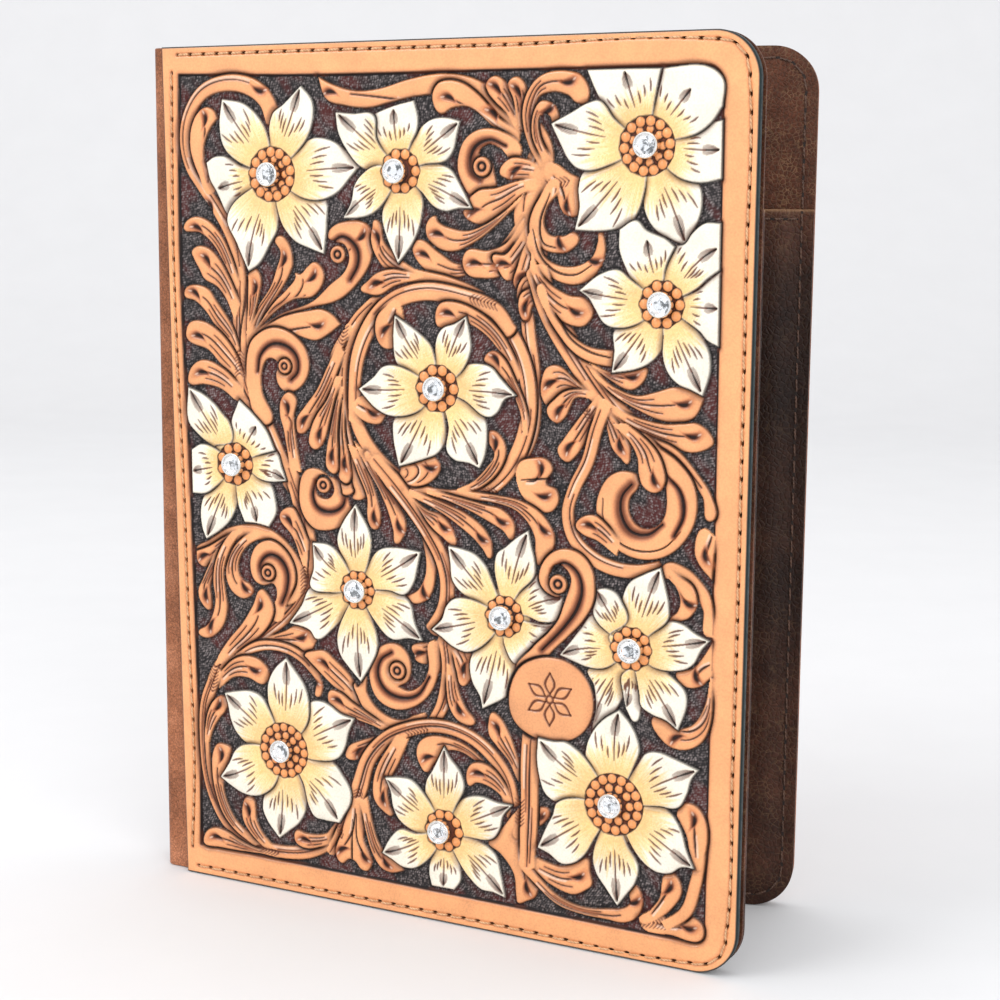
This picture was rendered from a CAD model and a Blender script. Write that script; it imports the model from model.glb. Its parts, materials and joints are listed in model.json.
"""Looks for the tooled leather notebook cover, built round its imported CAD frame.

The carved front is a relief worked out on a fine grid: every leaf, band, petal and bead is an
outline in millimetres of the panel, raised or cut in order, back to front.  The leather sheets,
pockets, stitches, cups and stones are built from the CAD nodes' boxes.
"""

import json
import math

import bpy
import numpy as np
from mathutils import Matrix, Vector


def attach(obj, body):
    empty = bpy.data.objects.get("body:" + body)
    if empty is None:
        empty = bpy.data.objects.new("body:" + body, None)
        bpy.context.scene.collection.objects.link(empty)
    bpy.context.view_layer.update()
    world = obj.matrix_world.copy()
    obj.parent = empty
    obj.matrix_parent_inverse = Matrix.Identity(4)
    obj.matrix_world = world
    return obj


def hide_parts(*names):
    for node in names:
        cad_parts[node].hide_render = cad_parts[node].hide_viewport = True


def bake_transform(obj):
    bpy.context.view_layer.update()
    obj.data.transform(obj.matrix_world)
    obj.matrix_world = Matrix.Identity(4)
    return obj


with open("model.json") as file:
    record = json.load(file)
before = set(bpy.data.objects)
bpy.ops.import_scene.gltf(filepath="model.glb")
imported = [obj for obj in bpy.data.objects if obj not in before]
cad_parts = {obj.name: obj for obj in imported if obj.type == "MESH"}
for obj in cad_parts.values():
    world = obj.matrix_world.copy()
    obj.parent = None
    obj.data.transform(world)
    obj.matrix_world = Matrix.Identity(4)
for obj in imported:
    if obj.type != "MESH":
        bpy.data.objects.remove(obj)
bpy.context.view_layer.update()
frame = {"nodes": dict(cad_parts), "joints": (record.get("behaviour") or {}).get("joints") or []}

# ---- carving ----
GRID = 0.25                      # mm between relief points
PANEL_S = (-1.0, 197.0)          # panel millimetres covered by the relief: s along, z up
PANEL_Z = (0.0, 260.0)
COLS = int(round((PANEL_S[1] - PANEL_S[0]) / GRID)) + 1
ROWS = int(round((PANEL_Z[1] - PANEL_Z[0]) / GRID)) + 1
STEP = 0.45                      # longest chord of a sampled outline

GROUND = -0.95                   # heights in mm from the panel's face
CUT = -1.12
LEAF_TOP = -0.10

TAN = (0.86, 0.38, 0.155)
TAN_DEEP = (0.52, 0.15, 0.045)
BROWN = (0.125, 0.032, 0.014)
LINE = (0.013, 0.009, 0.009)
GLEAM = (0.98, 0.72, 0.55)
FLOOR = (0.019, 0.017, 0.018)
RUSSET = (0.070, 0.014, 0.013)
SPECK = (0.23, 0.19, 0.185)
IVORY = (0.885, 0.82, 0.69)
HONEY = (0.93, 0.66, 0.29)
OCHRE = (0.86, 0.47, 0.11)
BEAD = (0.85, 0.31, 0.085)
BOSS = (0.77, 0.335, 0.137)


def smooth(x):
    x = np.clip(x, 0.0, 1.0)
    return x * x * (3.0 - 2.0 * x)


def mix(old, new, share):
    return old + (np.asarray(new, np.float32) - old) * np.asarray(share, np.float32)[..., None]


def unit(vector):
    return vector / max(np.hypot(*vector), 1e-6)


def left_of(vector):
    """The vector turned a quarter turn anticlockwise."""
    return np.array([-vector[1], vector[0]])


def headings(line):
    """The unit direction of a line at each of its points."""
    ahead = np.gradient(line, axis=0)
    return ahead / np.maximum(np.hypot(*ahead.T), 1e-6)[:, None]


def run_of(line):
    """How far along a line each of its points is."""
    return np.concatenate([[0], np.cumsum(np.hypot(*np.diff(line, axis=0).T))])


def points_at(line, run, at):
    """The points of a line at given distances along it."""
    return np.stack([np.interp(at, run, line[:, k]) for k in (0, 1)], 1)


def circle(centre, radius, count):
    angles = np.linspace(0, 2 * math.pi, count + 1)[:-1]
    return centre + radius * np.stack([np.cos(angles), np.sin(angles)], 1)


def parse(text):
    """Points written as "s,z s,z!", where ! marks a sharp corner."""
    points = []
    sharp = []
    for word in text.split():
        sharp.append(word.endswith("!"))
        s, z = word.rstrip("!").split(",")
        points.append((float(s), float(z)))
    return np.array(points), sharp


def point(text):
    """A single point, written as "s,z"."""
    return parse(text)[0][0]


def smooth_line(points, sharp=None, closed=True, step=STEP):
    """A Hermite curve through the points, sampled at even steps, with corners where sharp."""
    points = np.asarray(points, float)
    count = len(points)
    sharp = sharp or [False] * count
    chords = np.roll(points, -1, 0) - points
    lengths = np.maximum(np.hypot(chords[:, 0], chords[:, 1]), 1e-6)
    ahead = chords / lengths[:, None]
    behind = np.roll(ahead, 1, 0)
    if not closed:
        behind[0] = ahead[0]
        ahead[-1] = behind[-1]
    turn = ahead + behind
    turn /= np.maximum(np.hypot(turn[:, 0], turn[:, 1]), 1e-6)[:, None]
    out = []
    for i in range(count if closed else count - 1):
        j = (i + 1) % count
        leave = ahead[i] if sharp[i] else turn[i]
        enter = ahead[i] if sharp[j] else turn[j]
        pieces = max(2, int(math.ceil(lengths[i] / step)))
        t = np.arange(0.0, 1.0, 1.0 / pieces)[:, None]
        out.append((2 * t ** 3 - 3 * t ** 2 + 1) * points[i] + (t ** 3 - 2 * t ** 2 + t) * leave * lengths[i]
                   + (3 * t ** 2 - 2 * t ** 3) * points[j] + (t ** 3 - t ** 2) * enter * lengths[i])
    if not closed:
        out.append(points[-1:])
    return np.concatenate(out)


def evenly(line, count):
    """The same line as a given number of evenly spread points."""
    run = run_of(line)
    return points_at(line, run, np.linspace(0, run[-1], count))


def window(low, high):
    """The slices of the grid between two corners, and the coordinates there."""
    origin = (PANEL_S[0], PANEL_Z[0])
    first = np.clip(np.floor((low - origin) / GRID).astype(int), 0, (COLS - 2, ROWS - 2))
    last = np.clip(np.ceil((high - origin) / GRID).astype(int) + 1, first + 1, (COLS, ROWS))
    s = PANEL_S[0] + GRID * np.arange(first[0], last[0])
    z = PANEL_Z[0] + GRID * np.arange(first[1], last[1])
    cut = (slice(first[1], last[1]), slice(first[0], last[0]))
    return cut, *np.meshgrid(s, z)


def line_distance(line, s, z):
    """Distance of each grid point to a line, and how far along it the nearest point is (0 to 1)."""
    a, b = line[:-1], line[1:]
    best = np.full(s.shape, 1e9)
    along = np.zeros(s.shape)
    count = len(a)
    for i in range(count):
        d = b[i] - a[i]
        t = np.clip(((s - a[i, 0]) * d[0] + (z - a[i, 1]) * d[1]) / max(d @ d, 1e-9), 0, 1)
        gap = (s - a[i, 0] - t * d[0]) ** 2 + (z - a[i, 1] - t * d[1]) ** 2
        nearer = gap < best
        best = np.where(nearer, gap, best)
        along = np.where(nearer, (i + t) / count, along)
    return np.sqrt(best), along


def outline_field(line, reach):
    """Signed distance to a closed outline, positive inside and clipped at reach, on its own window."""
    cut, s, z = window(line.min(0) - reach, line.max(0) + reach)
    rows, cols = s.shape
    s0, z0 = s[0, 0], z[0, 0]
    a, b = line, np.roll(line, -1, 0)
    half = int(math.ceil((reach + STEP) / GRID))
    offsets = np.arange(-half, half + 1)
    middle = np.round(((a + b) / 2 - (s0, z0)) / GRID).astype(int)
    col = middle[:, 0, None, None] + offsets[None, None, :]
    row = middle[:, 1, None, None] + offsets[None, :, None]
    d = (b - a)[:, None, None, :]
    rel_s = s0 + GRID * col - a[:, 0, None, None]
    rel_z = z0 + GRID * row - a[:, 1, None, None]
    length2 = np.maximum((d ** 2).sum(-1), 1e-9)
    t = np.clip((rel_s * d[..., 0] + rel_z * d[..., 1]) / length2, 0, 1)
    gap = np.sqrt((rel_s - t * d[..., 0]) ** 2 + (rel_z - t * d[..., 1]) ** 2).astype(np.float32)
    valid = (col >= 0) & (col < cols) & (row >= 0) & (row < rows)
    distance = np.full(rows * cols, reach, np.float32)
    np.minimum.at(distance, (row * cols + col)[valid], gap[valid])
    toggle = np.zeros((rows, cols + 1), np.int32)
    low = np.minimum(a[:, 1], b[:, 1])
    high = np.maximum(a[:, 1], b[:, 1])
    first = np.ceil((low - z0) / GRID).astype(int)
    for k in range(int(STEP * 3 / GRID) + 2):
        r = first + k
        level = z0 + GRID * r
        ok = (level >= low) & (level < high) & (r >= 0) & (r < rows)
        share = (level[ok] - a[ok, 1]) / (b[ok, 1] - a[ok, 1])
        c = np.ceil((a[ok, 0] + share * (b[ok, 0] - a[ok, 0]) - s0) / GRID).astype(int)
        np.add.at(toggle, (r[ok], np.clip(c, 0, cols)), 1)
    inside = np.cumsum(toggle, 1)[:, :cols] % 2 == 1
    distance = distance.reshape(rows, cols)
    return cut, s, z, np.where(inside, distance, -distance)


class Carving:
    """The panel's relief and colours.  Later work lies over earlier work."""

    def __init__(self):
        self.height = np.zeros((ROWS, COLS), np.float32)
        self.color = np.empty((ROWS, COLS, 3), np.float32)
        self.color[:] = TAN
        self.ground = np.zeros((ROWS, COLS), bool)
        self.random = np.random.RandomState(7)
        self.streaks = self.random.rand(721)

    def tint(self, cut, color, share):
        self.color[cut] = mix(self.color[cut], color, share)

    def sink(self, cut, amount):
        self.height[cut] -= np.asarray(amount, np.float32)

    def level(self, cut, height, share):
        """Flatten part of the relief towards one height."""
        self.height[cut] = self.height[cut] * (1 - share) + height * share

    # -- raised shapes

    def shape(self, outline, root=None, cam=None, sharp=None, top=LEAF_TOP, drop=0.62, color=TAN,
              rounding=0.8, line_width=0.34, fade=6.5, burnish=0.5, vein=True):
        """Raise a closed outline.  Near root it runs into what lies there, with no cut between."""
        if isinstance(outline, str):
            outline, sharp = parse(outline)
        line = smooth_line(outline, sharp)
        cut, s, z, d = outline_field(line, 2.4)
        keep = np.ones(s.shape)
        if root is not None:
            root = point(root) if isinstance(root, str) else root
            keep = smooth((np.hypot(s - root[0], z - root[1]) - 1.0) / fade)
        inside = d > 0
        h = self.height[cut]
        c = self.color[cut]
        pressed = h + (CUT - h) * (1.0 - smooth(-d / 1.2)) * keep
        raised = top - drop * np.exp(-np.maximum(d, 0) / (0.42 * rounding)) * keep
        self.height[cut] = np.where(inside, raised, np.minimum(h, pressed))
        edge_in = np.exp(-(np.maximum(d, 0) / 0.26) ** 2) * 0.9 * keep
        wash = np.exp(-np.maximum(d, 0) / 0.75) * burnish * keep
        body = mix(mix(np.broadcast_to(np.float32(color), c.shape), TAN_DEEP, wash), LINE, edge_in)
        dark = (1.0 - smooth((-d - line_width) / 0.5)) * keep
        behind = mix(mix(c, BROWN, 0.6 * (1.0 - smooth((-d - 0.5) / 1.6)) * keep), LINE, dark)
        self.color[cut] = np.where(inside[..., None], body, behind)
        self.ground[cut] &= ~inside
        field = (cut, s, z, d)
        if cam:
            if vein and root is not None:
                head = point(cam)
                bend = (head + root) * 0.22 + np.mean(line, 0) * 0.56
                run = smooth_line(np.array([head, bend, root]), closed=False, step=0.9)
                self.vein(run[int(len(run) * 0.12):int(len(run) * 0.9)], field)
            self.cam(cam, toward=np.mean(outline, 0))
        return field

    def vein(self, line, field, width=0.52, gleam=True):
        """A tapering cut along a lobe, with brown antique round it and a burnished ridge beside it."""
        self.cut_line(line, "0.4 1.2 0.5", depth=0.08, color=TAN_DEEP, soft=0.7, strength=0.42, inside=field)
        if gleam:
            ridge = (line + 0.62 * left_of(headings(line).T).T)[len(line) // 3:]
            self.cut_line(ridge, "0.05 0.35 0.3", depth=-0.05, color=GLEAM, soft=0.35, strength=0.6,
                          inside=field)
        self.cut_line(line, f"{width * 0.5} {width} {width} 0.1", depth=0.3, soft=0.24, inside=field)

    def leaf(self, upper, lower, cam=None, **options):
        """A lobe between two edges that both run from its head to its root."""
        top, sharp_top = parse(upper)
        bottom, sharp_bottom = parse(lower)
        outline = np.concatenate([top, bottom[::-1]])
        sharp = sharp_top + sharp_bottom[::-1]
        sharp[len(top) - 1] = sharp[len(top)] = True
        root = (top[-1] + bottom[-1]) / 2
        field = self.shape(outline, root=root, sharp=sharp, vein=False, **options)
        above = evenly(smooth_line(top, sharp_top, closed=False, step=1.0), 30)
        below = evenly(smooth_line(bottom, sharp_bottom, closed=False, step=1.0), 30)
        wide = np.hypot(*(above - below).T)[8:22].max()
        for share, first, last, width in ((0.5, 0.26, 0.86, 0.42), (0.27, 0.42, 0.78, 0.22),
                                          (0.75, 0.36, 0.70, 0.22)):
            midrib = share == 0.5
            if midrib or wide > 4.0:
                line = above + (below - above) * share
                self.vein(line[int(first * 30):int(last * 30)], field, width, gleam=midrib)
        if cam:
            self.cam(cam, toward=above[12] / 2 + below[12] / 2)
        return field

    def band(self, path, widths, root=None, rib=False, **options):
        """A strip of leather round a centre line, with its widths spread evenly along it."""
        line = smooth_line(parse(path)[0], closed=False, step=1.5)
        widths = [float(w) for w in widths.split()]
        t = np.linspace(0, 1, len(line))
        half = np.interp(t, np.linspace(0, 1, len(widths)), widths) / 2 + 0.4
        side = left_of(headings(line).T).T * half[:, None]
        outline = np.concatenate([line + side, (line - side)[::-1]])
        root = line[0] if root is None else root
        field = self.shape(outline, root=root, **options)
        for shift, first, last in ((-0.35, 0.05, 0.45), (0.35, 0.40, 0.85)):
            a, b = int(first * len(line)), int(last * len(line))
            if half.max() > 2.0 and b - a > 3:
                self.vein((line + side * shift)[a:b], field, 0.26)
        if rib:
            self.cut_line(line, "0.5 1.2 1.2 0.5", depth=0.08, color=TAN_DEEP, soft=0.7, strength=0.5,
                          inside=field)
            self.cut_line(line, "0.1 0.5 0.4 0.1", depth=0.34, inside=field)
        return field

    def eye(self, at, radius):
        """The round end of a scroll, with its ring-shaped stamp."""
        centre = point(at)
        cut, s, z, _ = self.shape(circle(centre, 1.75 * radius, 12), drop=0.5, line_width=0.3)
        r = np.hypot(s - centre[0], z - centre[1]) / radius
        stamp = 1.0 - smooth((np.abs(r - 0.7) - 0.16) / 0.25)
        self.sink(cut, 0.4 * stamp)
        self.tint(cut, TAN_DEEP, 0.7 * (1.0 - smooth((r - 1.0) / 0.6)))
        self.tint(cut, LINE, stamp)

    # -- cuts and stamps

    def cut_line(self, path, widths="0.2 0.6 0.2", depth=0.45, color=LINE, soft=0.22, strength=0.95,
                 inside=None):
        """A swivel-knife cut, or with a wide soft edge a shaded stroke.  It can be kept inside a shape."""
        line = smooth_line(parse(path)[0], closed=False, step=0.9) if isinstance(path, str) else path
        widths = [float(w) for w in widths.split()]
        reach = max(widths) + soft + GRID
        cut, s, z = window(line.min(0) - reach, line.max(0) + reach)
        limit = 1.0
        if inside is not None:
            cut, s, z, d = inside
            limit = smooth((d - 0.25) / 0.6)
        gap, along = line_distance(line, s, z)
        half = np.interp(along, np.linspace(0, 1, len(widths)), widths) / 2
        share = (1.0 - smooth((gap - half) / soft)) * limit
        self.sink(cut, depth * share)
        self.tint(cut, color, strength * share)

    def shade(self, path, width=2.4):
        """Brown antique worked into the hollow of a scroll, round a thin dark cut."""
        self.cut_line(path, f"0.5 {width} {width * 0.6}", depth=0.14, color=TAN_DEEP,
                      soft=width * 0.5, strength=0.75)
        self.cut_line(path, f"0.3 {width * 0.55} {width * 0.3}", depth=0.24, color=BROWN,
                      soft=width * 0.45, strength=0.92)
        self.cut_line(path, "0.3 0.75 0.3", depth=0.36)

    def cam(self, at, toward):
        """A curved teardrop stamp, dark at its tail and pale at its head."""
        centre = point(at)
        heading = unit((point(toward) if isinstance(toward, str) else toward) - centre)
        cut, s, z = window(centre - 5.2, centre + 5.2)
        a = (s - centre[0]) * heading[0] + (z - centre[1]) * heading[1]
        b = -(s - centre[0]) * heading[1] + (z - centre[1]) * heading[0] + 0.10 * a ** 2
        width = np.maximum(1.15 - 0.22 * a, 0.3)
        reach = np.hypot(a / 3.0, b / width)
        share = 1.0 - smooth((reach - 0.55) / 0.5)
        self.sink(cut, 0.36 * share)
        self.tint(cut, TAN_DEEP, 0.75 * (1.0 - smooth((reach - 0.8) / 0.8)))
        self.tint(cut, BROWN, 0.92 * share)
        core = 1.0 - smooth((np.hypot((a - 0.2) / 2.3, (b - 0.1) / (width * 0.66)) - 0.5) / 0.45)
        self.tint(cut, LINE, 0.95 * core)
        glint = 1.0 - smooth((np.hypot((a + 2.1) / 0.8, (b + 0.3) / 0.4) - 0.4) / 0.6)
        self.tint(cut, GLEAM, 0.5 * glint)

    def chevrons(self, path, width):
        """A row of veiner stamps: small nested arrowheads along a line."""
        ends = parse(path)[0]
        run = ends[1] - ends[0]
        length = np.hypot(*run)
        run = run / length
        side = left_of(run) * width / 2
        pitch = 1.15
        for k in range(int(length / pitch)):
            tip = ends[0] + run * (pitch * k + 1.1)
            for sign in (-1, 1):
                arm = tip + sign * side * 0.8 - run * 1.3
                self.cut_line(np.array([tip, (tip + arm) / 2 + run * 0.2, arm]), "0.34 0.1", depth=0.22,
                              color=BROWN, soft=0.24, strength=0.8)

    # -- flowers

    def petal(self, centre, ring, text):
        """One ivory petal from the flower's centre out, with its honey-coloured throat and shading."""
        points, sharp = parse(text)
        outline = np.concatenate([[centre], points])
        field = self.shape(outline, root=centre, sharp=[True] + sharp, color=IVORY, top=-0.04, drop=0.6,
                           rounding=1.0, line_width=0.14, burnish=0.0, fade=ring + 4.0)
        cut, s, z, d = field
        tip = points[np.array(sharp)].mean(0)
        length = np.hypot(*(tip - centre)) - ring
        t = (np.hypot(s - centre[0], z - centre[1]) - ring) / length
        inside = (d > 0) * smooth(d / 0.5)
        self.throat(cut, s, z, centre, t, inside)
        bowl = 0.34 * np.exp(-np.maximum(t, 0) / 0.22)
        self.sink(cut, bowl * (d > 0))
        self.petal_strokes(centre, ring, tip, points, field)

    def throat(self, cut, s, z, centre, t, inside):
        """Honey and ochre streaks that run out from a flower's centre."""
        angle = (np.arctan2(z - centre[1], s - centre[0]) / (2 * math.pi) + 0.5) * 720
        coarse = np.interp((angle * 0.37 + centre[0] * 7) % 720, np.arange(721), self.streaks)
        fine = np.interp((angle + centre[0] * 11) % 720, np.arange(721), self.streaks)
        finer = np.interp((angle * 2.3 + centre[1] * 5) % 720, np.arange(721), self.streaks)
        honey = smooth((0.32 + 0.20 * coarse + 0.22 * fine - t) / 0.18)
        ochre = smooth((0.16 + 0.42 * finer * fine - t) / 0.12) * (0.35 + 0.5 * finer)
        self.tint(cut, HONEY, 0.85 * honey * inside)
        self.tint(cut, OCHRE, 0.8 * ochre * inside)
        self.sink(cut, 0.08 * finer * smooth(0.9 - t) * inside)

    def petal_strokes(self, centre, ring, tip, points, field):
        """The midrib with its hatched tip, and a fan of short dark strokes either side."""
        axis = unit(tip - centre)
        side = left_of(axis)
        length = np.hypot(*(tip - centre)) - ring
        across = (points - centre) @ side
        bow = np.clip(0.3 * (across.max() + across.min()), -1.4, 1.4)

        def at(share, out):
            """A point on the petal: how far towards the tip, and how far to one side."""
            return centre + axis * (ring + share * length) + side * (out + bow * 4 * share * (1 - share))

        for out in np.linspace(-1.25, 1.25, 7):
            hatch = np.array([at(0.92, out * 0.1), at(0.81, out * 0.8), at(0.69, out), at(0.6, out * 0.75)])
            self.cut_line(hatch, "0.28 0.34 0.26 0.04", depth=0.14, color=BROWN, soft=0.2, strength=0.6,
                          inside=field)
        low = np.array([at(0.20, 0), at(0.4, 0), at(0.66, 0)])
        high = np.array([at(0.66, 0), at(0.80, 0), at(0.92, 0)])
        self.cut_line(low, "0.08 0.34 0.3", depth=0.2, color=BROWN, inside=field)
        self.cut_line(high, "0.14 0.5 0.2", depth=0.2, inside=field)
        for sign, half in ((-1, -across.min()), (1, across.max())):
            for k, share in enumerate((0.24, 0.48, 0.74)):
                start = 0.22 + 0.06 * k + 0.05 * self.random.rand()
                run = 0.17 + 0.08 * self.random.rand()
                foot = at(start, sign * half * share * 0.74)
                head = at(start + run, sign * half * share * (0.84 + 0.12 * self.random.rand()))
                middle = (foot + head) / 2 + side * sign * 0.15
                self.cut_line(np.array([foot, middle, head]), "0.1 0.4 0.42 0.1", depth=0.18, color=BROWN,
                              soft=0.2, inside=field)

    def beads(self, centre, at, count, size, turn):
        """A ring of domed tan beads with dark outlines."""
        for k in range(count):
            angle = math.radians(turn + 360.0 * k / count)
            middle = centre + at * np.array([math.cos(angle), math.sin(angle)])
            cut, s, z = window(middle - size - 0.6, middle + size + 0.6)
            r = np.hypot(s - middle[0], z - middle[1])
            self.height[cut] = np.where(r < size, -0.10 - 0.6 * (r / size) ** 2, self.height[cut])
            self.tint(cut, LINE, smooth((size + 0.3 - r) / 0.25))
            self.tint(cut, BEAD, smooth((size - 0.08 - r) / 0.2))
            self.tint(cut, TAN, 0.75 * smooth((0.6 * size - r) / (0.6 * size)))

    def flower(self, ring_at, ring, stone_at, rows, petals):
        """Petals, then a sunken disc with its rows of beads and a flat seat for the stone."""
        centre = np.array(ring_at, float)
        reach = ring + 2.6
        cut, s, z = window(centre - reach - 1, centre + reach + 1)
        r = np.hypot(s - centre[0], z - centre[1])
        base = smooth((reach - r) / 0.8)
        self.level(cut, -0.3, base)
        self.tint(cut, HONEY, base)
        self.ground[cut] &= base < 0.5
        for text in petals:
            self.petal(centre, ring, text)
        r = np.hypot(s - centre[0], z - centre[1])
        disc = smooth((ring + 0.15 - r) / 0.4)
        self.level(cut, -0.85, disc)
        self.tint(cut, BROWN, disc)
        self.tint(cut, LINE, disc * (1 - smooth((np.abs(r - ring + 0.1) - 0.1) / 0.3)))
        for at, count, size, turn in reversed(rows):
            self.beads(centre, at, count, size, turn)
        seat = np.array(stone_at, float)
        under = smooth((3.75 - np.hypot(s - seat[0], z - seat[1])) / 0.4)
        self.level(cut, -0.35, under)
        self.tint(cut, LINE, under)


FIELD = ("9.6,251.6! 9.2,236 8.9,200 10,160 11.3,130 12.8,70 13.6,30 13.3,9.9! 60,9.6 120,9.2 181.5,8.7!"
         " 184.6,9.5 185.7,12.5! 185.8,120 185.3,243! 184.9,247.5 182.7,250.2 178.5,250.9! 120,250.7 50,250.7"
         " 30,251.2")
GRAIN_PITCH = 0.72               # mm between the mat's pale grains


def carve_ground(work):
    """Sink the field inside the tan border, and mat its floor with fine pale specks."""
    cut, _, _, d = outline_field(smooth_line(*parse(FIELD)), 3.0)
    inside = d > 0
    work.height[cut] = np.where(inside, GROUND, -0.45 * (1 - smooth(-d / 0.9)))
    work.color[cut] = np.where(inside[..., None], np.float32(FLOOR), work.color[cut])
    work.tint(cut, TAN_DEEP, 0.55 * (1 - smooth(-d / 1.8)) * ~inside)
    work.tint(cut, LINE, 1 - smooth((np.abs(d) - 0.3) / 0.3))
    work.ground[cut] = inside & (d > 0.4)


def finish_ground(work):
    """Mat the floor that is left between the shapes: russet patches under raised pale grains."""
    s, z = np.meshgrid(PANEL_S[0] + GRID * np.arange(COLS), PANEL_Z[0] + GRID * np.arange(ROWS))
    patch = (np.sin(s * 0.31 + 1.3 * np.sin(z * 0.17)) + np.sin(z * 0.27 + 1.7 * np.sin(s * 0.13 + 2))
             + 0.6 * np.sin(s * 0.83 + z * 0.71))
    floor = mix(np.broadcast_to(np.float32(FLOOR), work.color.shape), RUSSET, smooth((patch + 0.4) / 1.8))
    grains = np.random.RandomState(11)
    cells = (int(200 / GRAIN_PITCH) + 3, int(264 / GRAIN_PITCH) + 3)
    jitter_s = 0.3 + grains.rand(*cells) * 0.4
    jitter_z = 0.3 + grains.rand(*cells) * 0.4
    glow = grains.rand(*cells) ** 1.2
    size = 0.12 + 0.09 * grains.rand(*cells)
    turned_s = s + 1.1 * np.sin(z * 0.23) + 0.8 * np.sin(z * 0.61 + s * 0.2)
    turned_z = z + 1.3 * np.sin(s * 0.19)
    i = ((turned_s - PANEL_S[0]) / GRAIN_PITCH).astype(int)
    j = ((turned_z - PANEL_Z[0]) / GRAIN_PITCH).astype(int)
    share = np.zeros(s.shape)
    for di in (-1, 0, 1):
        for dj in (-1, 0, 1):
            a = np.clip(i + di, 0, cells[0] - 1)
            b = np.clip(j + dj, 0, cells[1] - 1)
            gap = np.hypot(turned_s - PANEL_S[0] - (a + jitter_s[a, b]) * GRAIN_PITCH,
                           turned_z - PANEL_Z[0] - (b + jitter_z[a, b]) * GRAIN_PITCH)
            share = np.maximum(share, glow[a, b] * (1 - smooth((gap - size[a, b]) / 0.2)))
    mat = work.ground
    work.color = np.where(mat[..., None], np.minimum(mix(floor, SPECK, share), 1), work.color)
    near_line = work.height < GROUND - 0.03
    work.color = np.where((mat & near_line)[..., None], work.color * 0.55, work.color)
    work.height += (0.14 * share * mat).astype(np.float32)


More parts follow.
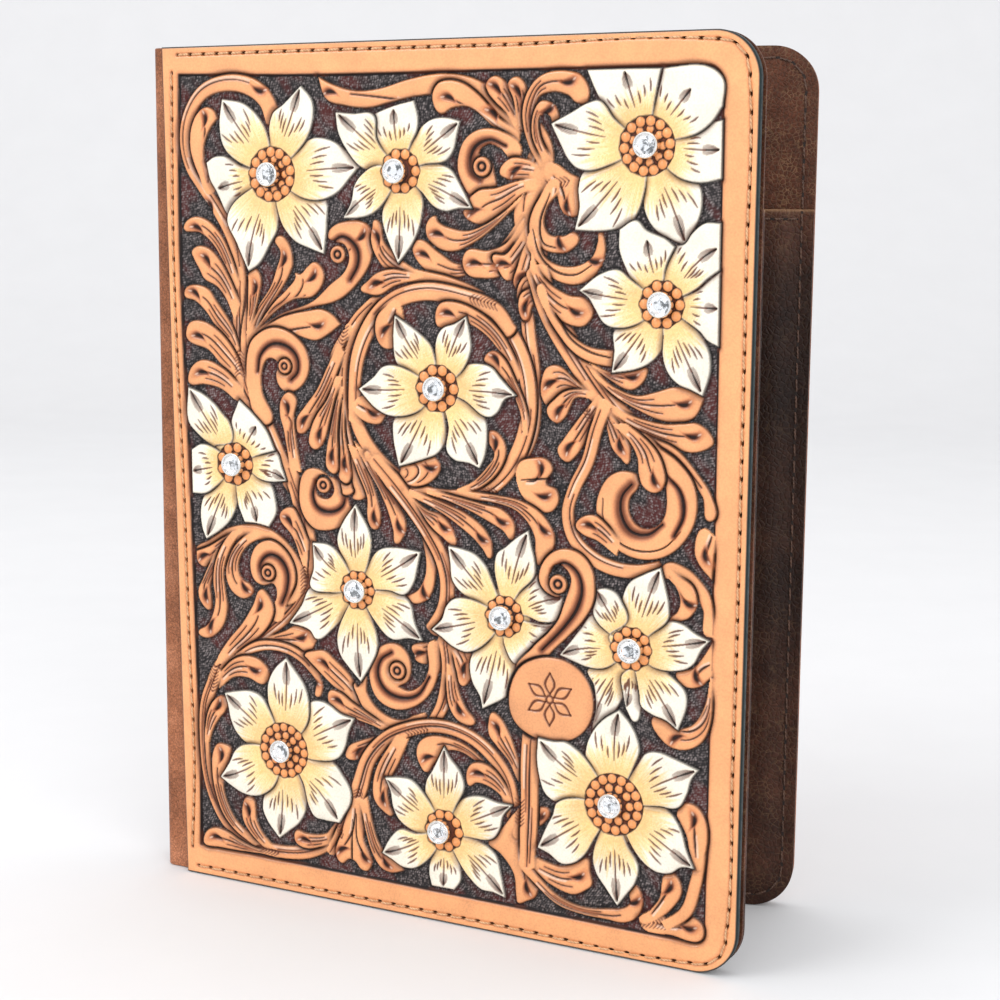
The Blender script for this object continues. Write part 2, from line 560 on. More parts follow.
def carve_left(w):
    """Scrolls down the left side, from the top corner to the foot."""
    w.band("31,190 28,203 22.5,212 17,219 13.4,224 11.4,231 12.5,239 18,246.3 27,249 36,247.4 41,243.5"
           " 43.5,237.5", "4 3.4 3.2 3.4 3.4 4 4.8 4.6")
    w.shape("21,216 16,222 13,231 15,239 19,242 22,241 23.5,238.5! 21,236 18.5,231 18.3,226", "20,217",
            "19,238.3")
    w.cam("38.5,246.5", "30,249")
    w.cam("20.5,212.5", "24,206")
    w.band("31,190 30.5,175 30,165 32,157 38,148 45,135 50,128", "4 4.6 5 6 6 6 5", rib=True)
    w.leaf("10.5,207 14,209.2 19,208.3 24,204 27.5,198 31,189", "10.3,205.2 16,204.5 21,201 25,195 29,186",
           "15.5,206")
    w.leaf("13,198.5 15,200.3 19,200 22.5,197.5 27,191 31,183",
           "13.5,197 16,193 17.5,190.5 22.5,188 26,184 29,178", "19,196.3")
    w.leaf("10.3,187 12,188.3 19,187.5 22,184 28,176 31,168",
           "10.2,184.8 14,183.6 18,180.5 22,175.5 28,170 31,163", "14.5,186")
    w.leaf("10.5,174.5 12,177 16,177.7 22.5,175 29,168 32,161", "10.8,171.8 19,168.5 24,163.8 29,160 32,155",
           "15.5,173")
    w.leaf("11,160.5 13,164 17,165.7 24.5,163.2 31,158", "11.3,158 17,158 23,157 30,153", "16.5,161.8")
    w.cut_line("33.5,196 32.8,185 31,175 30.5,169", "0.3 0.7 0.3")
    w.chevrons("30.5,161 30.5,170", 4)
    w.leaf("43.5,203 46,204 49,201 50,196 49.7,194.5 43,184 35,172", "45.5,199 44,194 42,189 34,178 33,170",
           "47,196.7")
    w.leaf("34,193 36.5,194 38.5,191.5 38,187 34.5,176", "33.8,190 33.6,184 33.2,174", "36.5,188")
    w.leaf("50.5,193 52.5,192.8 55,195 57.5,196.5 60,195 61,192 57.5,186.5 50,185 42,180 35,172",
           "50.8,192 47.5,188 43,184 35,174", "57,191.8")
    # spiral F above the pointed leaf
    w.shape("62,204 64,207 68,208.5 73,208.8 76.5,207 77.5,203 77,197 72,190 66,185.5 55,182.5 42,177 35,170"
            " 36,174 44,180 57,185 63,190 68,194 69.5,198 68,201.5 64.5,202.5", "36,172", "74,204")
    w.shade("64,202.5 67,204 70,203 72.5,200 72.5,196 70,191.5", 2.6)
    w.eye("65.7,198.8", 1.5)
    w.shape("39,175.5 44,179 48,180.5 55,182 60,182.6 64,181 66.7,178.3! 62,175 58,173.2 50,174.5 44,174"
            " 38,171", "38,173", "58.5,177.5")
    w.shape("34,171 38,175 43,176.6 49,175.2 54,171 55.6,166 54.5,161.5 51,158 47,157.2 44.5,159 43.5,162"
            " 44,166 41,167 38.5,163 38.5,157 42,148 37,147 34,154", "35,158")
    w.shade("37,163 38,168 42,171.4 47.5,171 51,168 51.3,163.5 49,161", 2.6)
    w.eye("46.7,165", 1.3)
    # spirals by the left-hand flower
    w.band("48,134 51.5,125 54,115 55,108 53.5,100 49,92 43,86 36,80.5 28,75 21,69 18,64", "4 5 5 5 5 4 4 3",
           rib=True)
    w.shape("13,105.5 18,109.5 25,113.7 33,115.6 40,115 46,112 51,107 54,100 50,93 46,92 49.6,98 49.5,104"
            " 46,109 41,111.3 36,110.8 28,110 20,107", "51,95")
    w.leaf("34.5,95 31.5,92 27,93.3 24.3,97.5 24,102 26.5,107 31,111.5 35,113.5",
           "33,97 30.5,98 29,101.5 30,105.5 33.5,109.5 38,112", "31.3,95.5")
    w.shape("47,93 50,99 49.5,104 46,109 41,111.3 36,109.5 33.5,105 33.5,101 35,98 38,96.8 42,97.5 43,93.5"
            " 40,88 44,86", "44,89")
    w.shade("38.2,99 37,103 40,106.5 44,106 47,102 46.8,96.5 45,92", 2.6)
    w.eye("40,101", 1.4)
    w.leaf("13,105.5! 18,107.5 24,111 30,114", "13.5,102 16.5,100.5 21,104 26,109.5 31,113", "16,104.3")
    w.leaf("18,87 14.3,89.5 13.5,93 15.2,96.5 17.5,101 21,107", "18.6,91 18.3,95 20,99.5 24,105", "16.5,91.8")
    w.leaf("13.3,79.3 16,77.8 20,79.3 23.3,83 24.7,88.5 24,94 23.5,100 26,107 30,113",
           "17,82.3 19,86 20,90.5 19.3,96 20,102 23,108.5 27,113", "18.3,82.3")
    w.leaf("37.5,95.7 40,94 42,90 41,86 37,81 30,76 24,71", "34,90 30,84 25,78.5 21.5,73.5 19.5,69", "37,90")
    w.leaf("44.3,119 46,121.5 49.5,122 51,120 55,112", "49,113 53,104 54,101", "48,118")
    w.chevrons("53.5,95 53.5,105", 3.4)
    w.shape("54,134 51.5,126 53,120 57,116.2 61,115.9 66,117.5 70,121 69,126 66,131 63,132.5 59,132.8"
            " 57.5,130.5 58,127 62,126 64,129 60,134", "62,134")
    w.shade("57.5,131 56.5,126.5 58,123 62.5,121.8 67,124 68,127.5", 2.4)
    w.eye("60.3,129.8", 1.4)
    w.leaf("57.3,84 54,84.5 50,85.5 46,83.5 38,80", "57,80.5 53.5,76.7 42,78.5 37,77", "52,81.8")
    w.leaf("58.5,64 59.5,68 56,74.5 50,78.5 42,79.8 35,78.8 25,72",
           "57,64 57,68 53,73 47,76 40,76.5 33,74.5 25,70", "56.5,69")
    w.leaf("53,76.5 57,78.5 60.5,78.8 64,76.5 70,71.5 72,67", "54,75.5 57,73 62,69 70,63.5 73,61",
           "60.5,74.8")
    w.leaf("40,69.5 37,73 32,74 27,72.5 22,68 19,64", "38,65.5 32,66.8 27,66.4 21,62", "34.5,69.5")
    w.chevrons("20,70 18.5,60", 4)


def carve_top(w):
    """Scrolls along the top, between the three upper flowers."""
    w.band("131,194 129.5,203 128.5,212 130,221 132,228 130,234 124,238", "6 8 9 9 8 5 4")
    w.shape("125,232 122,240 116,246 110,249 100,250.3 90,249 80,246.5 72,246 64,248 59,250.3! 62,243.6"
            " 68,241.8 76,241 84,242.5 92,244 100,244.5 108,243 115,238 120,233", "123,233", "63.5,245.8")
    w.shape("97.3,243.6 99,247.4 102,248.4 107,247.6 112,244.5 118,238.5 125,231 118,234.5 109,240.8"
            " 104,240.6 100,239", "123,232", "103,243.6")
    w.cam("117,239", "121,235")
    w.leaf("114.5,247 117,249.3 120.5,247.8 123,243 126,237", "115,245 117,242.5 121,239 124,235", "118,246")
    w.leaf("121.5,247.4 124,249 126.8,247 127.5,242 127,236", "121.6,246 123,243 124,239 125,235",
           "124.6,245")
    w.shape("126,229 120,234 113,234.8 108,232 105.8,227 106,222 110.5,215.5 115,214.5 118,218 117.5,222.5"
            " 116,226.5 112.5,228 115,230.5 119,229.5 124,226", "123,228")
    w.shade("121,230 116,231.7 111.5,230 109.8,226.5 110.3,222.5 113,220.5", 2.6)
    w.eye("113.5,224.3", 1.6)
    w.leaf("119,222.5 122,226.5 127,226.5 132,224.5", "121,221 126,220.5 132,221", "124,223.3")
    w.leaf("107.5,211.5 112,217.5 118,218.5 125,220.5 131,221",
           "111,208.5 115,208.5 120,211.5 127,217 131,218", "111,212")
    w.leaf("98.5,210.5 95.5,208 96,204 100,201 105,200.5 111,203 117,207 126,215",
           "99.5,208.8 104,207 109,206.4 114,208 120,211.5 127,217", "99.5,205.5")
    w.leaf("91,202 93,203.7 100,200 106,197 116,200 126,210", "91.5,199 97,194 105,193 116,197 127,207",
           "95,199.5")
    w.leaf("107.3,198 109,201 115.5,201 121,203 127,210", "109,194 114,193 120,194 128,203", "111.5,197.5")
    w.leaf("117,199.5 121,200 124,203 128,208", "118.5,196 122,192.5 126,196 130,203", "120.5,197.5")
    w.leaf("124,191 125,197 128,204", "128,189.8 131,193 132,200", "126.5,194")
    w.leaf("77.5,207 78,209 80,208.5 81.5,203 86,198.5 92,195", "77,203 79,198 83,194 90,191.5", "79.5,204")
    # curl at the top right
    w.leaf("145.5,241.5 146.5,244.5 144,248.8 140,250.2 133,249.7 129,247 126,240 128,230 132,224",
           "142.5,241.5 140,243.5 135,244.5 131,243 130.5,240 131,233 136,226", "140,247")
    w.leaf("135.5,235.5 137.3,237.5 136,240.8 132,242.3 129.8,240 129,233 133,225",
           "134.6,237.8 133,238.8 131.5,238 131.5,233 136,225", "134,239.5", fade=5)
    w.shape("141,222.5 145,220 143.8,214 144,211.5 140,211 138,213 137,216 134,220 134,225", "135,223",
            "140,213.5")
    w.chevrons("134,219 141,220.5", 3.6)
    w.shape("137,221 131,215 128.5,209 129,205 133,201.5 137,200.6 141,201.3 144,204.5 142.5,206.5 139,205.4"
            " 134.8,205.8 133.2,208.5 134,213 138,219", "137,220", "138,203.4")
    w.shape("130,207 133,200 138,197.3 144,197.5 148,200 149.5,204 150,206.8 152,203 151,198 148,194 143,192"
            " 136,193.5 132,197 128,203", "129,206", "148.6,198.5")
    w.cut_line("135,217 132,209 133,203.4 137,202", "0.1 0.5 0.5 0.2")
    w.cut_line("129.8,207 132,200 137,195.6 143,194.8 148,197.5", "0.1 0.5 0.6 0.4 0.1")
    w.chevrons("130.7,189 130.7,198", 2.6)


def carve_ring(w):
    """The wreath of bands and lobes round the middle flower."""
    w.band("135,192 128,192 128.5,180 130.5,165 130,150 126,142 119,136", "3 3.4 3.6 3.6 3.4 3.4 3")
    w.band("90,193.5 103,190.8 113,187 121,180 127,170 129,158 127,147 121,137 112,131 100,129.3 90,131.7"
           " 82,136.7 75,144 71,152 70,160", "3 4 4.2 4.2 4.2 4.2 4.2 4.2 4.2 4 4 4 3.8 3.6 3")
    w.band("80,186 73,180 68,172 66.3,160 67.3,148 70,138 73,127", "3.6 4 3.6 3.4 3.4 3.6 4")
    w.band("70,178 65,170 62.6,160 63.4,149 66,138 69,128", "1.5 2.6 2.8 2.8 2.8 3")
    w.chevrons("68,178 66.5,168", 4)
    w.band("71.6,150 71.2,158 72.8,170 78,180 85,186 95,188.8 107,187.5 118,184 123,178",
           "3.4 3.4 4 4.4 4.6 4.6 4.6 4.2 4")
    w.shape("78.5,176 79,181 82,184 86,186 88,182 87,176 84.5,172 81,172", "86,184", "82,177.5")
    w.chevrons("119,185.5 109,187.5", 3.6)
    w.leaf("98.5,182 100,185.5 104,186.3 112,184 119,179 124,172 126.5,166",
           "99.5,178.8 107,180.5 115,177 122.5,168 125,163", "103,183")
    w.leaf("114.5,170 117,172.6 120,171.6 125,164 128.5,156 129,149", "116,168.5 122,163.5 126,156 127.5,149",
           "118.5,170.3")
    w.leaf("115.5,149 118,149.8 121,147.5 122,144 119.5,138 114,133.2 107,130.5",
           "116,146.5 118,143 115.5,139 111,134.6 106,132", "118.6,146")
    w.leaf("86,138 92,140.3 98.5,141 100.5,138 98,134 93,131.8 88,132", "87,136.3 86,134.5 85,133.6",
           "97,137.5", fade=3)
    w.shape("74,157.5 78,155.3 81.7,153.2 80.5,149.8 77,149.3 73,151 71,154", "72,155", "77.5,152.5")
    w.leaf("73.5,188.7 76,191.5 79,193.8 84,195 89,194.4 95,193", "76,187.5 80,187.3 85,190 92,192",
           "79,190.9")
    w.leaf("125.5,184 126,189 129,190.8 133,193", "127.5,181.5 130,186 134,190", "127.5,185.5", fade=4)
    w.chevrons("80,133 74,139", 4)
    w.chevrons("111,131 120,132.5", 3.2)
    # stamps left of the wreath
    w.leaf("66,132 66,138 66,146 67,156", "69,131 69.5,138 68,146 68,156", "67.7,137")
    w.leaf("61.5,135 61.3,140 62.5,146 64,153 66,160", "64.5,133.5 65.5,139 65.3,146 66.3,154 68,160",
           "63.3,139")
    w.leaf("50,146.3 50.8,149.5 53.5,153 58,158.5 62,166 66,173",
           "52.5,144.8 56,147.5 59.5,153 64,161 68,170", "53.6,149.2")
    w.leaf("55.3,141.8 56,147 58,151 61.5,155.5 65,163", "57.5,140.3 60.8,143.5 62.5,149 64.5,156 67.5,163",
           "59,145.3")
    w.leaf("44.8,150 45.3,155 48,157.3 50.8,155.5 50,150 51,141 52.5,133", "46,146 47,141 48.5,134",
           "47.8,152.5")


def carve_right(w):
    """Scrolls of the right side, between the upper and the lower flowers."""
    w.band("131,196 135,185 145,170 155,158 165,150 172,143 176,132", "6 6.5 6.5 6.5 6 5 4", rib=True)
    w.leaf("148.6,184.6 146,188.4 141,189.2 133,194 129.5,201",
           "146,180.8 143,180.5 137,183 133,187.5 129,196", "143,184.5")
    w.shape("132,192 136,184.5 141,179 147,175.3 155,174.3! 155.3,169.6! 149,170.4 143,173 138,178 134,184",
            "134,188")
    w.cut_line("137,184 142,177 148,173.6 154,172.3", "0.1 0.5 0.5 0.3")
    w.leaf("165,168 165,169.8 160,169.3 155,168.2 148,170.5", "163,165 160,163.6 154,166 147,171",
           "160.5,167.2")
    w.leaf("181.5,163.5 178,164.7 173,165.2 168,163.7 162,162.3 156,164 148,169",
           "181,160 179,157 175,155.5 170,155.6 163,158 155,162 149,167", "176,160.5")
    w.leaf("185,150.5 184,153 180,155.7 176,155.4 170,155 160,157 154,160",
           "184,149.3 179,147.5 174,148.3 168,150.3 160,154 155,157", "178.8,151.9")
    w.chevrons("173,147 163,151.5", 3.6)
    w.leaf("186,130 184.8,136 180.5,142 174,148.3 165,151.5 158,154",
           "183.8,129 182,135.5 178,140 172,145.4 164,149 157,153")
    w.leaf("159.7,143 157.5,144.5 155,147 153,153 151,158", "160.5,146 160,150 157,154 153,158", "157.3,148")
    w.leaf("133,160 132.8,165 134.5,168.8 138,169.5 143,166 148,162",
           "135.5,157.5 137.5,160 140,162 144,162 149,160", "135.6,164.5")
    w.leaf("134.5,156.5 137,160 140.5,162.5 146,163 150,162",
           "137.5,153.2 140.5,155 142,158 143.5,160.5 149,160.5", "138.6,157")
    w.leaf("138,145.5 140,149 143,153 147,158 151,162", "141,142.3 144,144.3 147,149 150,155 153,160",
           "141.8,146.8")
    w.chevrons("146,159 151.5,149.5", 3)
    w.band("153,160 150,152 147.5,143 143.5,135 141.6,128 143.5,121 149,116 156,113.4 163,113.2 170,115.5",
           "3 3.2 3.2 3.2 3 3.2 3.4 3.6 3.2 2")
    w.shape("126,141 131,143 135,142.7 136.8,140 134.8,136 138,134.3 138.8,131 136,127.6 130,129 126,134",
            "127,136", "133.3,139.7")
    w.cam("134,132", "130,132")
    w.cut_line("137,137.3 133,137 127,136.3", "0.5 0.4 0.1")
    # the open scroll
    w.shape("163,152 170,147.8 174.5,145 179.5,139 180.6,131 178,124 172,118.3 164,116.6 157,118.8 152,124"
            " 150.3,130 151.5,135.5 154.5,139.6 159,141.2 163.5,139.5 162.8,136.5 160.8,134 160.3,131"
            " 161.5,127.5 164.5,125.5 168,126 170.8,129 171.5,134 170.5,139.5 167.5,143.5 161,149",
            "162,150.5")
    w.shade("170.5,127 166,123.8 161,124.4 158,129 158.2,134 161,137.5", 3.2)
    w.cut_line("152.5,133 153,126 157.5,121 164,119 171,120.5 176,125.5", "0.2 0.45 0.1")
    w.shade("171,141 175.5,136.5 176.6,130 174,124", 2.0)
    w.leaf("168.3,135.6 164.5,137 163,140.5 162.5,145 160,149.5 155,154",
           "171,138.5 170.5,143 168.5,147 165,150.5 159,154.5", "167.7,139.3")
    w.leaf("144,124.5 146,127.2 150,128 153,126.2 158,121", "146,122.3 151,120.6 157,117", "148.7,125")
    w.shape("182.5,127 180,121 181,117.5 185.5,112.5! 186.3,125!", "185.5,126", "183.3,119.5")
    w.shape("172,116.5 178,115.5 182,112.5 185.3,108 186.3,97! 184,97 183,104 180,109 176,111.5 170,113",
            "185.5,98")
    w.shape("171.5,114.5 176,113 180,110.5 181.3,106 179.5,102 176,100.3 173,100.2 175.4,103 176.2,106"
            " 174.8,110", "172,114", "178.7,105.5")
    w.shape("186,95.5! 183,90.5 180,87.3 175.5,86 176,83.5 179,81.8 182.5,82.5 186.3,86!", "187,90",
            "181.5,85.3")
    w.leaf("176,69.5 172.5,71.5 168.7,72 172,65.5 176,63.8 180,64.3 183.8,67 186,72 186.5,85",
           "177,69.8 181,71.8 184,77 185.8,86", "176,67.3")


def carve_middle(w):
    """Lobes that fan out below the wreath, and the medallion with its stem."""
    w.leaf("78.5,117.7 76.5,118.5 75.5,122 75.5,127 72,135 69,143", "80.3,121 79.5,126 77,133 72,142",
           "78,121.5")
    w.leaf("85.5,114 84.5,118 82.5,124 79.5,130 75.5,136 71,144",
           "88.5,117.5 88.9,121 86.2,126 80.5,133 75,141", "86.5,119.5")
    w.shape("80,134 88,124 93,118.5 95.2,113 95.5,106 93,101 89,98.7! 91,96.8 94,97 97.5,100 99,106 98.6,113"
            " 95.7,121 92,128 86,133 79,138 75,141 77,137", "78,138", "95,100.5")
    w.band("98,89 102,96 102.8,104 101,111 97.5,117 93,123 86,131 78,139", "4.5 4.4 4 4 4 4.4 5 3",
           root="79,138", rib=True)
    w.leaf("105.5,115.3 104,121 101,124 96,125.3 88,130.5", "101,117.5 97,120.5 92,127", "101.5,120.5")
    w.leaf("117,112.5 117.7,116 115.7,120.5 110,124.7 103,127.3 90,131",
           "114.5,115 112,117.5 107,121 101,124.5 90,129", "114,118.3")
    w.leaf("137.5,118 137.2,122 133.2,127.3 127,130.2 119,131.3 108,131.8",
           "132.5,112 131.2,120 129,124 125,127.3 119,128.8 108,129.4", "134,122.5")
    w.leaf("124,118.5 124.9,120.5 124.7,123.5 121,127.2 115,128.3 105,130 96,131.5",
           "121,121 117,123 110,126 103,128.3 96,130", "120.5,123.7")
    w.leaf("91.5,81.5 90.8,83.5 93.5,85 97.5,85.5 102,88", "92.5,79.3 96,78.8 99,81 101,84 104,87", "93.8,82")
    w.shape("101,85 100,76 97,69.5 91.5,65 85,63.5 79,66 76.3,71.5 76.5,77.5 80,82.3 85,84 89,82 90.8,77.5"
            " 89.8,73 86.5,70.8! 90,70 94,72.2 96.5,77 97.5,86", "99.5,86")
    w.shade("97,75 93,69 87.5,67.4 82,69 79.2,73.5 80.3,78.3 84,81", 2.5)
    w.eye("86,75.6", 1.5)
    w.shape("71,70 72,66 76,60.5 84,57.6 90,58.6 96,63.5 93,63 87,60.6 80,62.5 75.5,67.5 74.5,73 72,69",
            "95,63")
    w.band("102.3,88 103.6,80 102.8,72 101,66 98,61", "4 4.4 4 3.6 3", rib=True)
    w.leaf("112.5,63 110,61.8 107,62.6 104,66 102.7,72 103,80", "109.5,67 107,72 106,79", "107,66.5")
    w.leaf("110.5,75.5 111.3,80 110.8,83.5 105,88", "108,73.5 106,78 104.5,84", "108.5,79", fade=4)
    w.leaf("118,67 116.8,64 117,60 119.5,57 123.5,53 127,47", "120.5,66 124,61 126.5,55 129,49", "120,62.3")
    w.leaf("62,66.5 66,66.3 70,64 78,60 84,57.5", "62,62 66,59.8 71,58.7 78,57.3 84,55.5", "65.5,63.8")


def carve_medallion(w):
    """The egg-shaped boss with its six-petal rosette, the spiral above it and the stem below."""
    w.band("130,22 130.2,30 130.5,40 130.5,50 131,66", "4 5 5 5.5 5", rib=True)
    w.chevrons("127.6,42 127.6,33", 3.6)
    w.shape("126,80 131,88 136,93 139,97 140.5,101 142,105.5 142.8,109 141.5,111.5 138,112.8 136,109.5"
            " 136.5,106 139.5,104 136,104 133,107 133,111 136.5,116 141,117.7 146,116.5 149.5,112.5"
            " 150.4,108 150,103 147,97.5 142,92 137,87 133,81", "131,80")
    w.shade("137,111 140.5,113.5 144.5,111.5 146.3,107 145,101 141,95 134,87.5", 2.6)
    w.eye("138.9,107.2", 1.6)
    w.shape("131,84.3 136,85.6 142,85 147,82 150,77 150.4,71 148,65.5 143.5,62 137,60.8 130,61.8 125,65.5"
            " 123.3,71 124.3,77 127,81.7", top=0.0, drop=0.75, rounding=2.2, line_width=0.55, color=BOSS)
    middle = point("136.8,73.2")
    for k in range(6):
        angle = math.radians(60 * k + 30)
        ahead = np.array([math.cos(angle), math.sin(angle)])
        side = left_of(ahead)
        for sign in (-1, 1):
            run = middle + np.array([1.6 * ahead, 4.4 * ahead + 1.5 * sign * side, 7.8 * ahead])
            w.cut_line(smooth_line(run, closed=False, step=0.8), "0.3 0.6 0.3", depth=0.35, color=BROWN)
    w.cut_line(middle + 1.1 * np.array([(math.cos(a), math.sin(a)) for a in np.linspace(0, 2 * math.pi, 13)]),
               "0.5 0.5", depth=0.35, color=BROWN)


def carve_foot(w):
    """Wreaths and lobes round the three lowest flowers."""
    w.band("20.5,68 18.3,63 16,57 15.2,50 15.2,42 16,34 18.5,26 23,19 30,14.2 38,12.4 46,12.4 54,14 61,18"
           " 66,23.5", "3 3.8 3.6 3.2 3 3 3 3.2 3.4 3.6 3.6 3.8 4 4.4", rib=True)
    w.chevrons("20,70 18.5,60", 4)
    w.leaf("24.3,58.5 22,59.9 19,58.2 16.5,54 15.5,49 15.3,44", "23.5,55.3 21,52.3 18.3,48 16.8,43.5",
           "20.8,56.3")
    w.leaf("25.3,43.3 23,44.3 20,44 18.3,41.3 17.8,35 19,28 22,21 27,16 34,12.6",
           "24.8,40.5 23,36.5 22.3,30 24,24.5 27,20 31,17 37,13.8", "21.8,40.3")
    w.leaf("33.8,27.8 31,28.3 29.3,25 29.5,20.5 33,15.8 38,12.3", "34.5,25 34.8,21.5 36.5,18 40,14.5 43,12.8",
           "31.8,24")
    w.leaf("48.7,18 49.5,20.3 53,19.9 58,20.2 64,22", "49.5,16 53,14.8 58,16 63,18.3", "53,17.8")
    w.leaf("14,11 15.5,14.7 19,16.3 24,15.5 28,13.6 34,12 42,11.8", "14.5,10 20,9.8 27,9.9 34,10.2 42,10.6",
           "19.5,13.3")
    w.chevrons("36,12 44,11.5", 2.4)
    w.leaf("67.7,46.5 68.5,49.7 73,52.3 81,55", "69,45.6 72,46.1 76,48.3 80,52.3", "72.5,48.9", fade=4)
    w.band("62,15 66,22 70,30 72.8,38 76,47 82,53.8 90,58 97,60 104,60.2 112,58 119,53 123.5,47 125.5,40",
           "2 3.4 4.6 5 4.4 4 4 3.6 3.4 3.4 3.6 3.4 3", rib=True)
    w.chevrons("89,56 97,59", 3.4)
    w.chevrons("70,27 73,38", 4)
    w.leaf("84.3,30.3 80.5,31.5 77.8,34.5 77.3,39 78.8,45 82,50.5 86,56",
           "83.3,33.5 82.6,38 84,42.5 86.5,47 90,55", "81,35.5")
    w.leaf("96,45.5 93.5,48 92.5,51.5 93.8,55 97,57 103,57.4 110,55.6 116.5,51 121.5,45 124.5,38",
           "98.5,48.5 101,51.5 104,53.4 108,53.4 113,51 118,46 121.5,41 123.5,35", "96.6,50.5")
    w.leaf("109.5,47 111,50.3 114,51.3 118,50.3 122,46.5 125,41",
           "110.5,43.5 113,44.8 117,44.3 121,42.3 124.5,39", "113.7,48")
    w.shape("64,16.5 64.5,13.5 66.3,12.2 69,14 71,13.6 73,11.5 75.3,11.2 77,14 76.3,17 74.3,21 74.2,27 74,34"
            " 70,33 67.5,27 66,22", "71.5,33", "66.5,17")
    w.cam("74.3,15.8", "72,19")
    w.cut_line("73.3,17.5 71.8,21 71.6,29", "0.5 0.4 0.1")
    w.cut_line("70,14.6 70,19 70.3,27", "0.6 0.4 0.1")
    w.leaf("88.5,13.6! 84,12.2 80.5,13 77.5,16.5 75,23 73,33", "86,16 82.5,17.5 79.5,21 77.3,27 75.5,35",
           "82,15")
    w.chevrons("64.5,27 66.5,19.5", 2.6)
    w.shape("126,38 122,33 117,27 121,24.5 125.5,19 126.5,12 127,10.3 130,11.3 133,13.5 133.6,17 132,21"
            " 128,26 129,31 131,36 129,41", "129,36", "130,15.5")
    w.shape("131,39 133,40.5 137,40.2 134.8,35.5 130,33 126,30 127,35", "128,33", "134,37.5")
    w.leaf("150.3,24 149.6,27.6 146,26 141,24 136,24.6 130,26", "151,20 149,18 145,16 138,17.6 131,21",
           "146.5,21.5")
    w.leaf("164.5,22.3 166.8,18.5 166,13.8 162,10.6 155,10.4 147,10.6 140,12 132,17.5 126,23",
           "162.5,20 162.8,16.5 155,13.6 147,13 140,15 134,19.5 129,24", "164.3,17")
    w.shape("177,12.5 179,15.2 182,16 185.3,14 185.6,10.5 184,8.9 176,9.3 167,10 166,13 172,15.3", "170,12",
            "181,12.3")
    w.chevrons("166,12 176,12.5", 4)
    w.shape("173,26.5 176,27.7 178,26 178.8,22.5 176.5,18 173,14.5 166,12 169.5,16 172,20 172.5,24.5",
            "169,13.5", "175,23")
    w.band("174,12 180,17 182.6,25 184.2,34 184.8,42", "2 3 3 2.4 1")
    w.shape("176.5,45 179,48.7 182.5,48.4 185.3,45 186.2,40 185.5,35 183.3,30 181,34 179.5,39.5 177.5,43",
            "183,32", "182,44")


